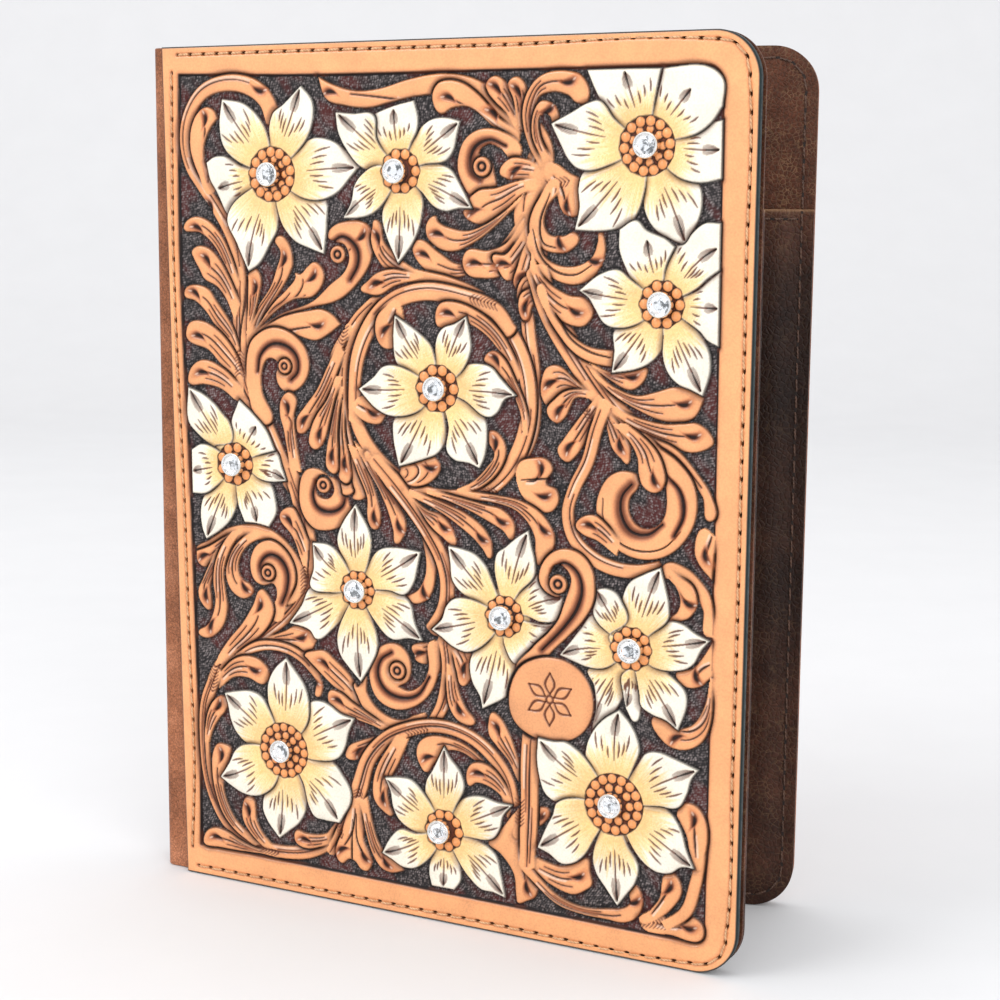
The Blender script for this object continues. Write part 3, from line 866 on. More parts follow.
FLOWERS = (
    ((42.7, 222.0), 8.2, (41.7, 221.4), ((6.6, 13, 1.6, 10), (4.5, 9, 1.2, 0)), (
        "31.5,224.5 26,227.3 22,227.2 19,225.5! 20.5,220 22.5,217 26.5,209.5! 29,211 33,214",
        "44.5,206 42,201.5 38,195.5 34,193! 32.5,196 30,201 26.5,209.5",
        "61.5,214.8 62,208 61,198.7! 56,200.3 51,202.2 47,206 45,210",
        "57,232.5 62,232.3 66,230.7 73,224! 70,221 66,217 60,214.6 53,215.3",
        "43,239.5 47,242.5 53.2,247.8! 57,243.5 57.5,239 55.5,233 51.5,228.5",
        "30,226 25.5,230 24,236 25,244.3! 33,242.8 38,239 41,234")),
    ((87.0, 223.0), 6.3, (86.0, 222.8), ((5.0, 10, 1.55, 0),), (
        "94,216 94,210 92,204 88.5,199 86.2,196.5! 82,205 80.8,210 82,215",
        "99,225 103.5,223.5 106.5,219.5 110.5,212.5! 106,212.5 102,211.7 98,213 94,217",
        "93,234.5 97,237.5 102,238 106.5,237! 105.5,233 104.5,229 102,226 95,225",
        "78,227 78,234 78,239.3! 85,241.6 91.5,243! 92.8,238 92.5,234.5 90.5,231",
        "74,224 68.5,229.5 66,234 65,240! 71,239.5 78,239 79,232",
        "78.5,224.5 74.5,222.5 71.5,219 70.3,214 67.5,209.3! 73,209.5 77,210.5 80.5,213")),
    ((163.7, 229.8), 8.2, (163.7, 229.8), ((6.7, 14, 1.5, 5), (4.5, 9, 1.2, 0)), (
        "179,219.5 180,215 179,210 176.5,206 175.5,203.3! 171,205 166.5,207.5 163.5,212 162.8,217.5",
        "145,223 143.5,219 143.8,213 142.5,207! 150,206.8 156,207.8 160,210 163,217",
        "175,233 180,235.5 185.3,236.5! 185.4,221! 180,220 175.5,220.5 172,222",
        "165.5,241 167,246 167.8,250.4! 181,250.4 185.2,247 185.2,240! 182,235.7 178,232.9 172,231.5",
        "154,236.5 151,240 148,245 145.5,250.3! 157,250.4 167.5,250.3! 166,243.5 165,238",
        "154,237 149.5,242 146,241.5 141,239 134.8,236! 138,230 140,226.5 143,223.8 147,223.2 152,224.5")),
    ((169.0, 187.4), 6.5, (168.2, 187.2), ((5.2, 10, 1.55, 0),), (
        "155,180 155,174 154.3,168! 162,169.5 166,171.5 169,175 169.5,179",
        "180,180 183,175 183.5,170 181.5,163! 178,164.5 174,166 171,169 169.5,173 169.5,179",
        "179,191.5 182,194 185.6,197! 185.7,176.5! 182.5,178 180,180.5 177,182.5",
        "169.5,197 170.5,203 175,203.8 177.5,207 181,209.5 185.5,209.5! 185.5,197! 182,194.6 179,192",
        "161,192 158,197 156,202 156,207.5! 161,210 164,207.5 170,205 172.5,203! 169.7,197",
        "159.5,194 156,196.5 151,195.5 144,190.5! 147,188.5 149,185.5 152,181.5 156,180.5 162,182")),
    ((99.3, 161.0), 6.9, (99.0, 160.8), ((5.4, 10, 1.65, 0),), (
        "102,146 99.5,142 95,140 86.5,137.2! 85.5,141 84.5,146 85,151.5",
        "115,153 115.8,148 115,142 113.4,138.5! 110,139.8 105,140.5 102.5,143 103,150",
        "109,168.3 113,168.8 117,168 120,165 125,160.2! 121.5,159 119,155 116,153.5 108,158",
        "99,175.5 101,178.5 105,180 108.7,182.2! 110,177 110.3,172.5 107,166",
        "90,162.5 85.5,168 84.5,175 85,181.7! 89,179.5 93,177 97,173.5 98.3,170",
        "85.5,167 81,166.5 78,163.5 72.7,159.5! 75,157 79,153.7 84,152 93,154")),
    ((28.2, 134.0), 6.6, (28.3, 133.9), ((5.1, 9, 1.6, 0),), (
        "28.8,126 28.5,121 26,116 22,112.5 17,109.5! 15.5,113 15,119 16.5,123.5 21,127",
        "41,129 43,124 43.3,120 40.5,115.3! 36,116 31.5,116! 29,122",
        "43,139 45.5,134 47,130! 41,129.3 37,130 34.5,131.5",
        "27,147 29,152 30,154! 35,150 40,145 43,139! 36,137",
        "13,143.5 10.9,146 10.9,157! 16,155.3 20.5,152.5 24,149 26,147 27,141 20,138",
        "16,139.5 11.8,137.5! 12,123.7! 17,124 21,126.5")),
    ((72.2, 98.8), 5.8, (71.8, 98.8), ((4.6, 10, 1.4, 0),), (
        "55.5,98 52,92 47.5,86! 55,84.5 57.5,82 63,85.5 67,90",
        "79,85 79,81 77,76.5 73.3,70.5! 69,74.5 66,78 64.8,83 66,88",
        "83,99.7 87,99.3 90.5,96.5 92,91 94.7,85.5! 90,85.8 84,85 78,90",
        "77,109 80,112 85,113 94,112.5! 93,108 91.5,102.5 88.5,99 83,99.7",
        "65.5,111 65,114 67,119 71.5,125! 73.5,122 76,118 77,114 76,108",
        "65,110 62,111.8 56.2,112! 56.5,104 55.5,98 62,97")),
    ((121.8, 96.0), 6.0, (121.5, 96.3), ((4.8, 10, 1.45, 0),), (
        "126.5,82 126,77 123.5,73 114.8,67.5! 114,71 111.5,75 110.5,79 111,83",
        "134,95 138,95.5! 136,93 131,88 126.5,82 122,87",
        "131.5,109 136,107 140.5,103! 139,97 134,95.5 128,97",
        "119,114 122,116.5 125.5,119.5 129.3,122! 130.5,117 131.5,113 131.5,109 126.5,103.5",
        "111,99.8 107,102 104.5,105 103.8,110 103,115.2! 108,114.6 112,113.5 115.5,110.5 117,107.5",
        "110,100 105,99.5 102.5,97 101,93 97.5,89.5! 101,87.5 105,85 110,84 116.5,88")),
    ((161.8, 91.0), 6.1, (161.8, 90.6), ((4.9, 10, 1.5, 0),), (
        "153,84.5 148.5,83.5 150.5,79 151,73 150,66! 155,70 158.5,74.5 160.5,81",
        "150,99.5 146,95 143,91 139.5,86.6! 144,85.2 149,84 154,84.5",
        "165,76 163.5,70 160.5,73.5! 159.5,78 159,83 162,86",
        "175.5,83.5 178.5,80.5 179,77 176.5,69.2! 173,71.5 168,73 165,75 164.5,78",
        "173,100 177,99.8 181,97.5 185.3,95.8! 183,93 180.5,88.5 177,86.5 169,86.3",
        "158.5,101.5 159,106 161,110 165,112.5 170.3,115! 172,109 173,104.5 172.8,100.5 168,96",
        "150.2,99 150.5,107! 154,107.5 157,106.5 158.5,104.5 160.5,99 155,93")),
    ((45.2, 45.3), 8.8, (45.2, 45.2), ((7.4, 16, 1.45, 0), (4.8, 10, 1.3, 10)), (
        "37,26 38.5,22 43.3,16.5! 47,19.5 51,23 53.3,28 52,35",
        "63,44 67,40 69.5,36 69.5,32 67,27.5 65.5,25! 60,25 56.5,25.5 54.3,28.5 52,36",
        "55,62 59,62.8 62,62 66,59.8 71,58.8! 69,54.5 67.5,49 65,45.5 57.5,43.7",
        "40,57.5 39.3,62 39.5,66 42,71 46.3,75! 49,72 53,67 54.5,62 53.8,55",
        "34.5,44.3 28,48 25.5,52 24.2,57.5 23,61! 28,62.2 33,62.8 37,61.5 39.5,58",
        "30,45 27,43 24.5,38.5 21,33.3! 25,31 30,29 35,29 39,31 41.5,33.5")),
    ((102.2, 28.5), 6.3, (101.1, 28.7), ((5.0, 10, 1.55, 0),), (
        "98,20 97,15 98,10.5! 105.8,10.5! 108,14 107.5,18.5",
        "115.5,26.5 119.5,24 121.5,18 123,11! 119,12 115,12.2 111,15 107.5,19",
        "107.5,38.5 111,40.5 115,41 120,40 125,39.8! 122,36 121,32 118.5,28.5 110,27.7",
        "95.8,38 96,43 98,46.5 102,54.5! 104,51.5 107.5,47.5 109,43 106,36.5",
        "95,26 87,29 84.5,33 83.5,38 81.5,42! 87,42.8 91,42.5 95.5,38.5",
        "92.5,26 87,26.5 84,24 80.5,18! 84,16.5 88,14.7 92,15 98,20")),
    ((157.3, 45.0), 9.2, (156.8, 45.3), ((7.6, 16, 1.5, 5), (4.9, 10, 1.35, 0)), (
        "151,29 152,24 155,20 159,15! 161.5,18.5 164.5,23 165.3,28 161.5,34",
        "171,47 175,45 178,41 180,35 182.3,30! 178.5,29.8 175,27.5 170.5,27.3 165,31",
        "164.5,58 167,61.5 171,62.3 175,61.3 183,58.8! 181,56 179.5,51 177,47 171,46.5",
        "148.5,55 148.3,60 150,65 153.5,69.5 158.5,73! 161.5,70 164,66 165,62 163.5,57.5",
        "145,44 139,43 135.5,45 133.5,50 132.7,55 133,61.4! 138,61 142,61.3 145.5,59.5 148,57.5",
        "139.5,43 138,39 136,35 133.2,28.3! 137,27 141,24.7 144.5,25.3 148,28 151.5,34")),
)


UNDER_MEDALLION = 9              # the medallion lies over this many of the flowers


def carve_flowers(work):
    for flower in FLOWERS[:UNDER_MEDALLION]:
        work.flower(*flower)
    carve_medallion(work)
    for flower in FLOWERS[UNDER_MEDALLION:]:
        work.flower(*flower)


def seam_points(line, pitch):
    """Middle points and headings of the stitches along a line, and the stitch length."""
    run = run_of(line)
    count = int(round(run[-1] / pitch))
    at = (np.arange(count) + 0.5) * run[-1] / count
    ahead = points_at(line, run, at + 0.5) - points_at(line, run, at - 0.5)
    return points_at(line, run, at), ahead / np.hypot(*ahead.T)[:, None], run[-1] / count


EDGE_SEAM = ("9,257.6! 60,257.7 120,257.6 182,257.5 188,256.3 191.5,252.5 192.6,247 193,200 193.2,120"
             " 193,60 192.5,14 191,7 187,3.4 181,2.4 120,2.4 60,2.5 12,2.6!")
GUTTER_SEAM = "6.9,252.5 6.4,200 7.4,160 8.7,130 9.9,80 11.2,35 10,8.5"
EDGE_PITCH = 4.85                # stitch lengths in mm, before they are evened out
GUTTER_PITCH = 4.65
SEAM_GROOVE = 0.16


def seam_line(path, step=0.5):
    return smooth_line(*parse(path), closed=False, step=step)


def carve_seams(work):
    """A shallow channel under each seam, with a dark needle hole between stitches."""
    for path, pitch in ((EDGE_SEAM, EDGE_PITCH), (GUTTER_SEAM, GUTTER_PITCH)):
        work.cut_line(seam_line(path, 1.5), "0.9 0.9", depth=SEAM_GROOVE, color=TAN_DEEP, soft=0.6,
                      strength=0.35)
        middle, ahead, length = seam_points(seam_line(path), pitch)
        for at, heading in zip(middle, ahead):
            for sign in (-1, 1):
                hole = at + heading * sign * (length / 2 - 0.28)
                ends = np.array([hole - heading * 0.22, hole + heading * 0.22])
                work.cut_line(ends, "0.42 0.42", depth=0.8, soft=0.3)


def carve_panel():
    work = Carving()
    for carve in (carve_ground, carve_seams, carve_left, carve_top, carve_ring, carve_right, carve_middle,
                  carve_foot, carve_flowers, finish_ground):
        carve(work)
    return work


MM = 0.001
RIM = 0.7                        # rounding of the panel's edge, in mm
CORNER = 13.0                    # fore-edge corners, as in the CAD
THREAD = 0.33                    # stitch thread radius in mm
SHEET_ROUNDING = 0.3
SHEET_ROWS = 90
FINE_REACH = 9.0                 # past a fold, a hide is finely divided for this far


# ---- places, read from the CAD nodes ----

def middle_of(values):
    return (values.min() + values.max()) / 2


def node_points(node):
    """A CAD node's vertices in millimetres."""
    return np.array([v.co for v in frame["nodes"][node].data.vertices]) / MM


class Cover:
    """A cover's own axes: u along it from its fold line, z up, depth outward from the fold line."""

    def __init__(self, fold, angle, side):
        self.fold = np.array(fold[:2]) / MM
        self.along = np.array([math.cos(angle), math.sin(angle)])
        self.out = side * np.array([-math.sin(angle), math.cos(angle)])

    def layer(self, node):
        """(inner depth, outer depth, first u, last u) of a CAD node."""
        flat = node_points(node)[:, :2] - self.fold
        depth = flat @ self.out
        u = flat @ self.along
        return depth.min(), depth.max(), u.min(), u.max()

    def line(self, u, depth):
        """The cross-section point at u and depth, in mm."""
        u = np.asarray(u, float)[..., None]
        return self.fold + u * self.along + np.asarray(depth, float)[..., None] * self.out

    def place(self, u, z, depth):
        flat = self.line(u, depth)
        return np.concatenate([flat, np.asarray(z, float)[..., None]], -1)


joints = {joint["name"]: joint for joint in frame["joints"]}
front = Cover(joints["front_hinge"]["pos_m"], 0.0, -1)
back_angle = -math.radians(joints["back_hinge"]["range_deg"][0])
back = Cover(joints["back_hinge"]["pos_m"], back_angle, 1)
HEIGHT = node_points("back_lining")[:, 2].max()
PANEL_BACK, FACE = front.layer("front_tooled_panel")[:2]
REACH = front.layer("front_tooled_panel")[3]
S_TO_U = REACH - 195.63          # the relief's s is measured from a line by the spine
PANEL_RIGHT = REACH - S_TO_U


# ---- materials ----

WORN = (0.30, 0.165, 0.085)      # where a brown hide has rubbed pale
EDGE_PAINT = (0.010, 0.022, 0.024)


class Shader:
    """A Principled material with a helper for each kind of node it uses."""

    def __init__(self, name, roughness=0.5, **inputs):
        self.material = bpy.data.materials.new(name)
        self.material.use_nodes = True
        self.nodes = self.material.node_tree.nodes
        self.links = self.material.node_tree.links
        self.surface = self.nodes["Principled BSDF"]
        self.set(self.surface, "Roughness", roughness)
        for key, value in inputs.items():
            self.set(self.surface, key.replace("_", " "), value)
        self.where = self.nodes.new("ShaderNodeTexCoord").outputs["Object"]

    def set(self, node, socket, value):
        if isinstance(value, bpy.types.NodeSocket):
            self.links.new(value, node.inputs[socket])
        elif isinstance(value, tuple) and len(value) == 3 and node.inputs[socket].type == "RGBA":
            node.inputs[socket].default_value = (*value, 1.0)
        else:
            node.inputs[socket].default_value = value

    def add(self, kind, **inputs):
        node = self.nodes.new(kind)
        for socket, value in inputs.items():
            self.set(node, socket.replace("_", " "), value)
        return node

    def noise(self, per_mm, detail=3.0, roughness=0.55, vector=None):
        return self.add("ShaderNodeTexNoise", Vector=vector or self.where, Scale=per_mm / MM, Detail=detail,
                        Roughness=roughness).outputs["Fac"]

    def cells(self, per_mm, feature="F1", vector=None):
        node = self.add("ShaderNodeTexVoronoi", Vector=vector or self.where, Scale=per_mm / MM)
        node.feature = feature
        return node.outputs["Distance"]

    def stretched(self, x, y, z):
        node = self.add("ShaderNodeMapping", Vector=self.where)
        node.inputs["Scale"].default_value = (x, y, z)
        return node.outputs["Vector"]

    def warped(self, amount_mm, per_mm):
        """Coordinates pushed about by a coarse noise, so that a pattern doesn't look ruled."""
        push = self.add("ShaderNodeTexNoise", Vector=self.where, Scale=per_mm / MM).outputs["Color"]
        scaled = self.add("ShaderNodeVectorMath")
        scaled.operation = "SCALE"
        self.set(scaled, 0, push)
        self.set(scaled, "Scale", amount_mm * MM)
        added = self.add("ShaderNodeVectorMath")
        self.set(added, 0, scaled.outputs["Vector"])
        self.set(added, 1, self.where)
        return added.outputs["Vector"]

    def ramp(self, value, *stops):
        node = self.add("ShaderNodeValToRGB", Fac=value)
        elements = node.color_ramp.elements
        while len(elements) < len(stops):
            elements.new(0.5)
        for element, (position, shade) in zip(elements, stops):
            element.position = position
            element.color = (*shade, 1.0) if isinstance(shade, tuple) else (shade, shade, shade, 1.0)
        return node.outputs["Color"]

    def mixed(self, share, a, b, blend="MIX"):
        node = self.add("ShaderNodeMix")
        node.data_type = "RGBA"
        node.blend_type = blend
        for index, value in ((0, share), (6, a), (7, b)):
            self.set(node, index, value)
        return node.outputs[2]

    def times(self, color, factor):
        return self.mixed(1.0, color, factor, "MULTIPLY")

    def bump(self, value, strength, distance_mm, after=None):
        node = self.add("ShaderNodeBump", Height=value, Strength=strength, Distance=distance_mm * MM)
        if after is not None:
            self.set(node, "Normal", after)
        return node.outputs["Normal"]

    def rise(self, top_mm):
        """How far up the piece a point is: 0 at the floor and 1 at the given height."""
        split = self.nodes.new("ShaderNodeSeparateXYZ")
        self.set(split, 0, self.where)
        span = self.add("ShaderNodeMapRange", Value=split.outputs["Z"], From_Max=top_mm * MM)
        return span.outputs["Result"]

    def attribute(self, name):
        node = self.nodes.new("ShaderNodeAttribute")
        node.attribute_name = name
        return node.outputs["Color"]

    def finish(self, color, normal=None, roughness=None):
        self.set(self.surface, "Base Color", color)
        if normal is not None:
            self.set(self.surface, "Normal", normal)
        if roughness is not None:
            self.set(self.surface, "Roughness", roughness)
        return self.material


def carved_material():
    """Carved vegetable-tanned leather: the relief's own colours under a glossy top coat."""
    shader = Shader("carved_leather", 0.42, Coat_Roughness=0.16)
    bare = shader.attribute("carving")
    shader.set(shader.surface, "Coat Weight", shader.ramp(bare, (0.03, 0.02), (0.22, 0.42)))
    shader.set(shader.surface, "Specular IOR Level", shader.ramp(bare, (0.02, 0.14), (0.20, 0.5)))
    mottle = shader.ramp(shader.noise(0.09, 4), (0.3, 0.86), (0.7, 1.06))
    pores = shader.ramp(shader.noise(1.6, 2), (0.35, 0.90), (0.6, 1.03))
    color = shader.times(shader.times(bare, mottle), pores)
    grain = shader.bump(shader.noise(1.1, 4, 0.6), 0.22, 0.12)
    fine = shader.bump(shader.noise(5.0, 2), 0.15, 0.05, grain)
    return shader.finish(color, fine, shader.ramp(shader.noise(0.3, 3), (0.3, 0.34), (0.7, 0.52)))


def hide_material(name, dark, mid, pale, pebble, worn=0.0, top=0.0, shades=(), rubbed=False):
    """Pebbled hide: rounded grains with darker or worn pale valleys, soft mottling, and a rubbed top.

    shades are (share of the height up to top, brightness) pairs.
    """
    shader = Shader(name, 0.5, Specular_IOR_Level=0.2)
    vector = shader.warped(1.2, 0.35)
    valley = shader.cells(pebble, "DISTANCE_TO_EDGE", vector=vector)
    color = shader.ramp(shader.noise(0.05, 5, 0.6), (0.3, dark), (0.5, mid), (0.72, pale))
    color = shader.times(color, shader.ramp(valley, (0.0, 0.55), (0.14, 1.0)))
    if worn:
        crack = shader.times(shader.ramp(valley, (0.0, worn), (0.11, 0.0)),
                             shader.ramp(shader.noise(0.16, 4, 0.65), (0.4, 0.12), (0.6, 1.0)))
        color = shader.mixed(crack, color, WORN)
    color = shader.times(color, shader.ramp(shader.noise(1.3, 3), (0.38, 0.74), (0.62, 1.14)))
    rub = shader.ramp(shader.noise(0.8, 4, 0.7), (0.56, 0.0), (0.74, 0.55))
    color = shader.mixed(rub, color, pale)
    if top:
        height = shader.rise(top)
        color = shader.times(color, shader.ramp(height, *shades))
        if rubbed:
            color = shader.mixed(shader.ramp(height, (0.9958, 0.0), (0.9976, 0.8)), color, WORN)
    normal = shader.bump(shader.ramp(valley, (0.0, 0.0), (0.2, 1.0)), 0.5, 0.18)
    normal = shader.bump(shader.noise(0.12, 3), 0.35, 0.9, normal)
    return shader.finish(color, normal)


def thread_material(name, dark, pale):
    """Waxed thread: two plies laid at a slant."""
    shader = Shader(name, 0.6)
    wave = shader.add("ShaderNodeTexWave", Vector=shader.where, Scale=0.55 / MM, Distortion=1.0)
    wave.bands_direction = "DIAGONAL"
    ply = wave.outputs["Fac"]
    color = shader.ramp(shader.noise(0.9, 3), (0.3, dark), (0.7, pale))
    color = shader.times(color, shader.ramp(ply, (0.0, 0.72), (0.5, 1.0)))
    return shader.finish(color, shader.bump(ply, 0.6, 0.15))


def board_material():
    """Grey board, with fibres that run upward."""
    shader = Shader("grey_board", 0.9)
    fibre = shader.noise(0.9, 5, vector=shader.stretched(1.0, 1.0, 0.15))
    color = shader.ramp(fibre, (0.3, (0.30, 0.26, 0.20)), (0.7, (0.50, 0.45, 0.37)))
    return shader.finish(color, shader.bump(fibre, 0.3, 0.2))


def hole_material():
    """The dark inside of a needle hole."""
    shader = Shader("needle_hole", 0.9)
    color = shader.ramp(shader.noise(2.0), (0.3, (0.008, 0.005, 0.004)), (0.7, (0.03, 0.018, 0.014)))
    return shader.finish(color)


def plate_material():
    """Bright plating with fine polishing marks."""
    shader = Shader("bright_plating", 0.16, Metallic=1.0)
    scratch = shader.noise(3.0, 2, vector=shader.stretched(1.0, 1.0, 0.2))
    color = shader.ramp(scratch, (0.3, (0.70, 0.70, 0.69)), (0.7, (0.90, 0.90, 0.89)))
    roughness = shader.ramp(scratch, (0.3, 0.10), (0.7, 0.24))
    return shader.finish(color, shader.bump(scratch, 0.05, 0.02), roughness)


def crystal_material():
    """Clear lead crystal."""
    shader = Shader("crystal", 0.02, Transmission_Weight=1.0, IOR=1.62)
    color = shader.ramp(shader.noise(0.3), (0.3, (0.94, 0.97, 0.98)), (0.7, (1.0, 1.0, 1.0)))
    return shader.finish(color)


def foil_material():
    """Silver foil behind the crystal, a little uneven."""
    shader = Shader("crystal_foil", 0.08, Metallic=1.0)
    tone = shader.ramp(shader.noise(0.6, 2), (0.42, (0.16, 0.17, 0.18)), (0.56, (0.95, 0.97, 1.0)))
    return shader.finish(tone, shader.bump(shader.noise(1.0), 0.15, 0.1))


MATERIALS = {
    "carved": carved_material(),
    "wrap": hide_material(
        "wrap_leather", (0.20, 0.070, 0.031), (0.34, 0.125, 0.058), (0.49, 0.20, 0.104), 1.3,
        top=260.0, shades=((0.0, 1.26), (0.2, 1.24), (0.36, 1.0))),
    "lining": hide_material(
        "lining_leather", (0.050, 0.0160, 0.0080), (0.092, 0.0300, 0.0150), (0.155, 0.055, 0.029), 0.8,
        worn=0.55),
    "pocket": hide_material(
        "pocket_leather", (0.028, 0.0092, 0.0052), (0.052, 0.0176, 0.0096), (0.098, 0.035, 0.019), 0.6,
        worn=0.28, top=213.0, rubbed=True,
        shades=((0.0, 0.9), (0.2, 1.1), (0.45, 0.55), (0.8, 0.36), (0.92, 0.42), (0.985, 1.3))),
    "thread": thread_material("tan_thread", (0.52, 0.26, 0.12), (0.78, 0.47, 0.25)),
    "brown_thread": thread_material("brown_thread", (0.05, 0.022, 0.013), (0.125, 0.058, 0.034)),
    "board": board_material(),
    "hole": hole_material(),
    "plate": plate_material(),
    "crystal": crystal_material(),
    "foil": foil_material(),
}


# ---- mesh helpers ----

def add_object(name, data):
    item = bpy.data.objects.new(name, data)
    bpy.context.scene.collection.objects.link(item)
    return item


def paint(mesh, colors):
    """Give a mesh its carving colours, from a row for each vertex."""
    rgba = np.concatenate([colors, np.ones((len(colors), 1))], 1).astype(np.float32)
    mesh.color_attributes.new("carving", "FLOAT_COLOR", "POINT").data.foreach_set("color", rgba.ravel())


def make_mesh(name, vertices, faces, materials, smooth_shade=True):
    """A mesh object from points in millimetres."""
    mesh = bpy.data.meshes.new(name)
    mesh.from_pydata([tuple(v) for v in np.asarray(vertices) * MM], [], faces)
    for material in materials:
        mesh.materials.append(MATERIALS[material])
    if smooth_shade:
        mesh.shade_smooth()
    return add_object(name, mesh)


def grid_mesh(name, points, normals, colors, uv):
    """A single-sided sheet from a grid of points, with its own normals, colours and flat UV map."""
    rows, cols = points.shape[:2]
    mesh = bpy.data.meshes.new(name)
    quads = (rows - 1) * (cols - 1)
    mesh.vertices.add(rows * cols)
    mesh.vertices.foreach_set("co", (points.reshape(-1, 3) * MM).astype(np.float32).ravel())
    corner = (np.arange(rows - 1)[:, None] * cols + np.arange(cols - 1)[None, :]).ravel()
    loops = np.stack([corner, corner + 1, corner + cols + 1, corner + cols], 1).ravel()
    mesh.loops.add(quads * 4)
    mesh.loops.foreach_set("vertex_index", loops.astype(np.int32))
    mesh.polygons.add(quads)
    mesh.polygons.foreach_set("loop_start", np.arange(0, quads * 4, 4, dtype=np.int32))
    mesh.update(calc_edges=True)
    mesh.shade_smooth()
    paint(mesh, colors.reshape(-1, 3))
    layer = mesh.uv_layers.new(name="OFBake")
    layer.data.foreach_set("uv", uv.reshape(-1, 2)[loops].astype(np.float32).ravel())
    mesh.normals_split_custom_set_from_vertices(normals.reshape(-1, 3).astype(np.float32))
    mesh.materials.append(MATERIALS["carved"])
    return add_object(name, mesh)


def round_edges(item, width):
    """Round a mesh's sharp edges, and keep the result as its own mesh."""
    bevel = item.modifiers.new("rounded_edges", "BEVEL")
    bevel.width = width * MM
    bevel.segments = 3
    bevel.limit_method = "ANGLE"
    bevel.angle_limit = math.radians(50)
    bpy.context.view_layer.update()
    shown = item.evaluated_get(bpy.context.evaluated_depsgraph_get())
    mesh = bpy.data.meshes.new_from_object(shown)
    item.modifiers.clear()
    item.data = mesh
    mesh.shade_smooth()
    mesh.set_sharp_from_angle(angle=math.radians(35))
    return item


def corner_rise(u, last, radius=CORNER):
    """How far the foot edge rises (and the head edge drops) at u, for round fore-edge corners."""
    over = np.clip(np.asarray(u, float) - (last - radius), 0, radius)
    return radius - np.sqrt(np.maximum(radius ** 2 - over ** 2, 0.0))


def sheet(name, path, out, thickness, low, high, rows, material, open_start=False, push=None):
    """A leather sheet: a cross-section path with outward directions, swept between two edge heights."""
    cols = len(path)
    v = np.linspace(0, 1, rows)[:, None]
    z = low[None, :] + (high - low)[None, :] * v
    offset = np.zeros((rows, cols)) if push is None else push(z)
    middle = path[None] + out[None] * offset[..., None]
    both = [np.concatenate([middle + out[None] * side * thickness, z[..., None]], -1) for side in (0.5, -0.5)]
    vertices = np.concatenate(both).reshape(-1, 3)
    count = rows * cols
    faces = []
    for j in range(rows - 1):
        for i in range(cols - 1):
            a = j * cols + i
            faces.append((a, a + 1, a + cols + 1, a + cols))
            faces.append((count + a, count + a + cols, count + a + cols + 1, count + a + 1))
    rim = [(i, i + 1) for i in range(cols - 1)]
    rim += [(j * cols + cols - 1, (j + 1) * cols + cols - 1) for j in range(rows - 1)]
    rim += [((rows - 1) * cols + i + 1, (rows - 1) * cols + i) for i in range(cols - 1)]
    if not open_start:
        rim += [((j + 1) * cols, j * cols) for j in range(rows - 1)]
    faces += [(b, a, count + a, count + b) for a, b in rim]
    head = path[1] - path[0]
    if head[1] * out[0][0] - head[0] * out[0][1] < 0:
        faces = [face[::-1] for face in faces]
    return round_edges(make_mesh(name, vertices, faces, [material]), SHEET_ROUNDING)


def corner_steps(last):
    """Places along a cover that follow its rounded corner evenly."""
    return last - CORNER * (1 - np.sin(np.linspace(0, math.pi / 2, 15)))


def bent_path(start, corner, end, radius, spacing):
    """A cross-section path from start round a filleted corner to end, with its left-hand sides."""
    into = unit(corner - start)
    away = unit(end - corner)
    turn = math.acos(np.clip(into @ away, -1, 1))
    trim = radius * math.tan(turn / 2)
    first = corner - into * trim
    last = corner + away * trim
    sign = 1.0 if into[0] * away[1] - into[1] * away[0] > 0 else -1.0
    centre = first + sign * radius * left_of(into)
    points = []
    heads = []
    for t in np.linspace(0, 1, max(3, int(np.hypot(*(first - start)) / 0.6)))[:-1]:
        points.append(start + (first - start) * t)
        heads.append(into)
    for t in np.linspace(0, 1, 11):
        angle = sign * turn * t
        c, s = math.cos(angle), math.sin(angle)
        turned = np.array([[c, -s], [s, c]])
        points.append(centre + turned @ (first - centre))
        heads.append(turned @ into)
    total = np.hypot(*(end - last))
    near = np.arange(0.7, min(FINE_REACH, total), 0.7)
    far = np.arange(FINE_REACH, max(total - CORNER, FINE_REACH), spacing)
    tip = corner_steps(total) if total > 2 * CORNER else np.array([total])
    for t in np.unique(np.concatenate([near, far, tip])):
        points.append(last + away * t)
        heads.append(away)
    heads = np.array(heads)
    return np.array(points), np.stack([-heads[:, 1], heads[:, 0]], 1)


def meet(a, direction_a, b, direction_b):
    """Where two lines cross."""
    matrix = np.stack([direction_a, -direction_b], 1)
    return a + direction_a * np.linalg.solve(matrix, b - a)[0]


# ---- the carved panel ----

panel_points = node_points("front_tooled_panel")
LEFT_TOP = panel_points[panel_points[:, 2] > HEIGHT - 0.5][:, 0].min() - front.fold[0] - S_TO_U
LEFT_BOTTOM = panel_points[panel_points[:, 2] < 0.5][:, 0].min() - front.fold[0] - S_TO_U
TILE_ROWS = 4
TILE_COLS = 3
STEADY_S = (15.0, 181.0)         # between these the relief isn't stretched to meet the edges


def panel_left(z, inset):
    """The panel's slanted spine edge, in relief millimetres."""
    return LEFT_BOTTOM + inset + (LEFT_TOP - LEFT_BOTTOM) * z / HEIGHT


def bilinear(values, s, z):
    """Values of the relief's grid between its points."""
    col = np.clip((s - PANEL_S[0]) / GRID, 0, COLS - 1.001)
    row = np.clip((z - PANEL_Z[0]) / GRID, 0, ROWS - 1.001)
    i, j = col.astype(int), row.astype(int)
    a, b = col - i, row - j
    if values.ndim == 3:
        a, b = a[..., None], b[..., None]
    return ((values[j, i] * (1 - a) + values[j, i + 1] * a) * (1 - b)
            + (values[j + 1, i] * (1 - a) + values[j + 1, i + 1] * a) * b)


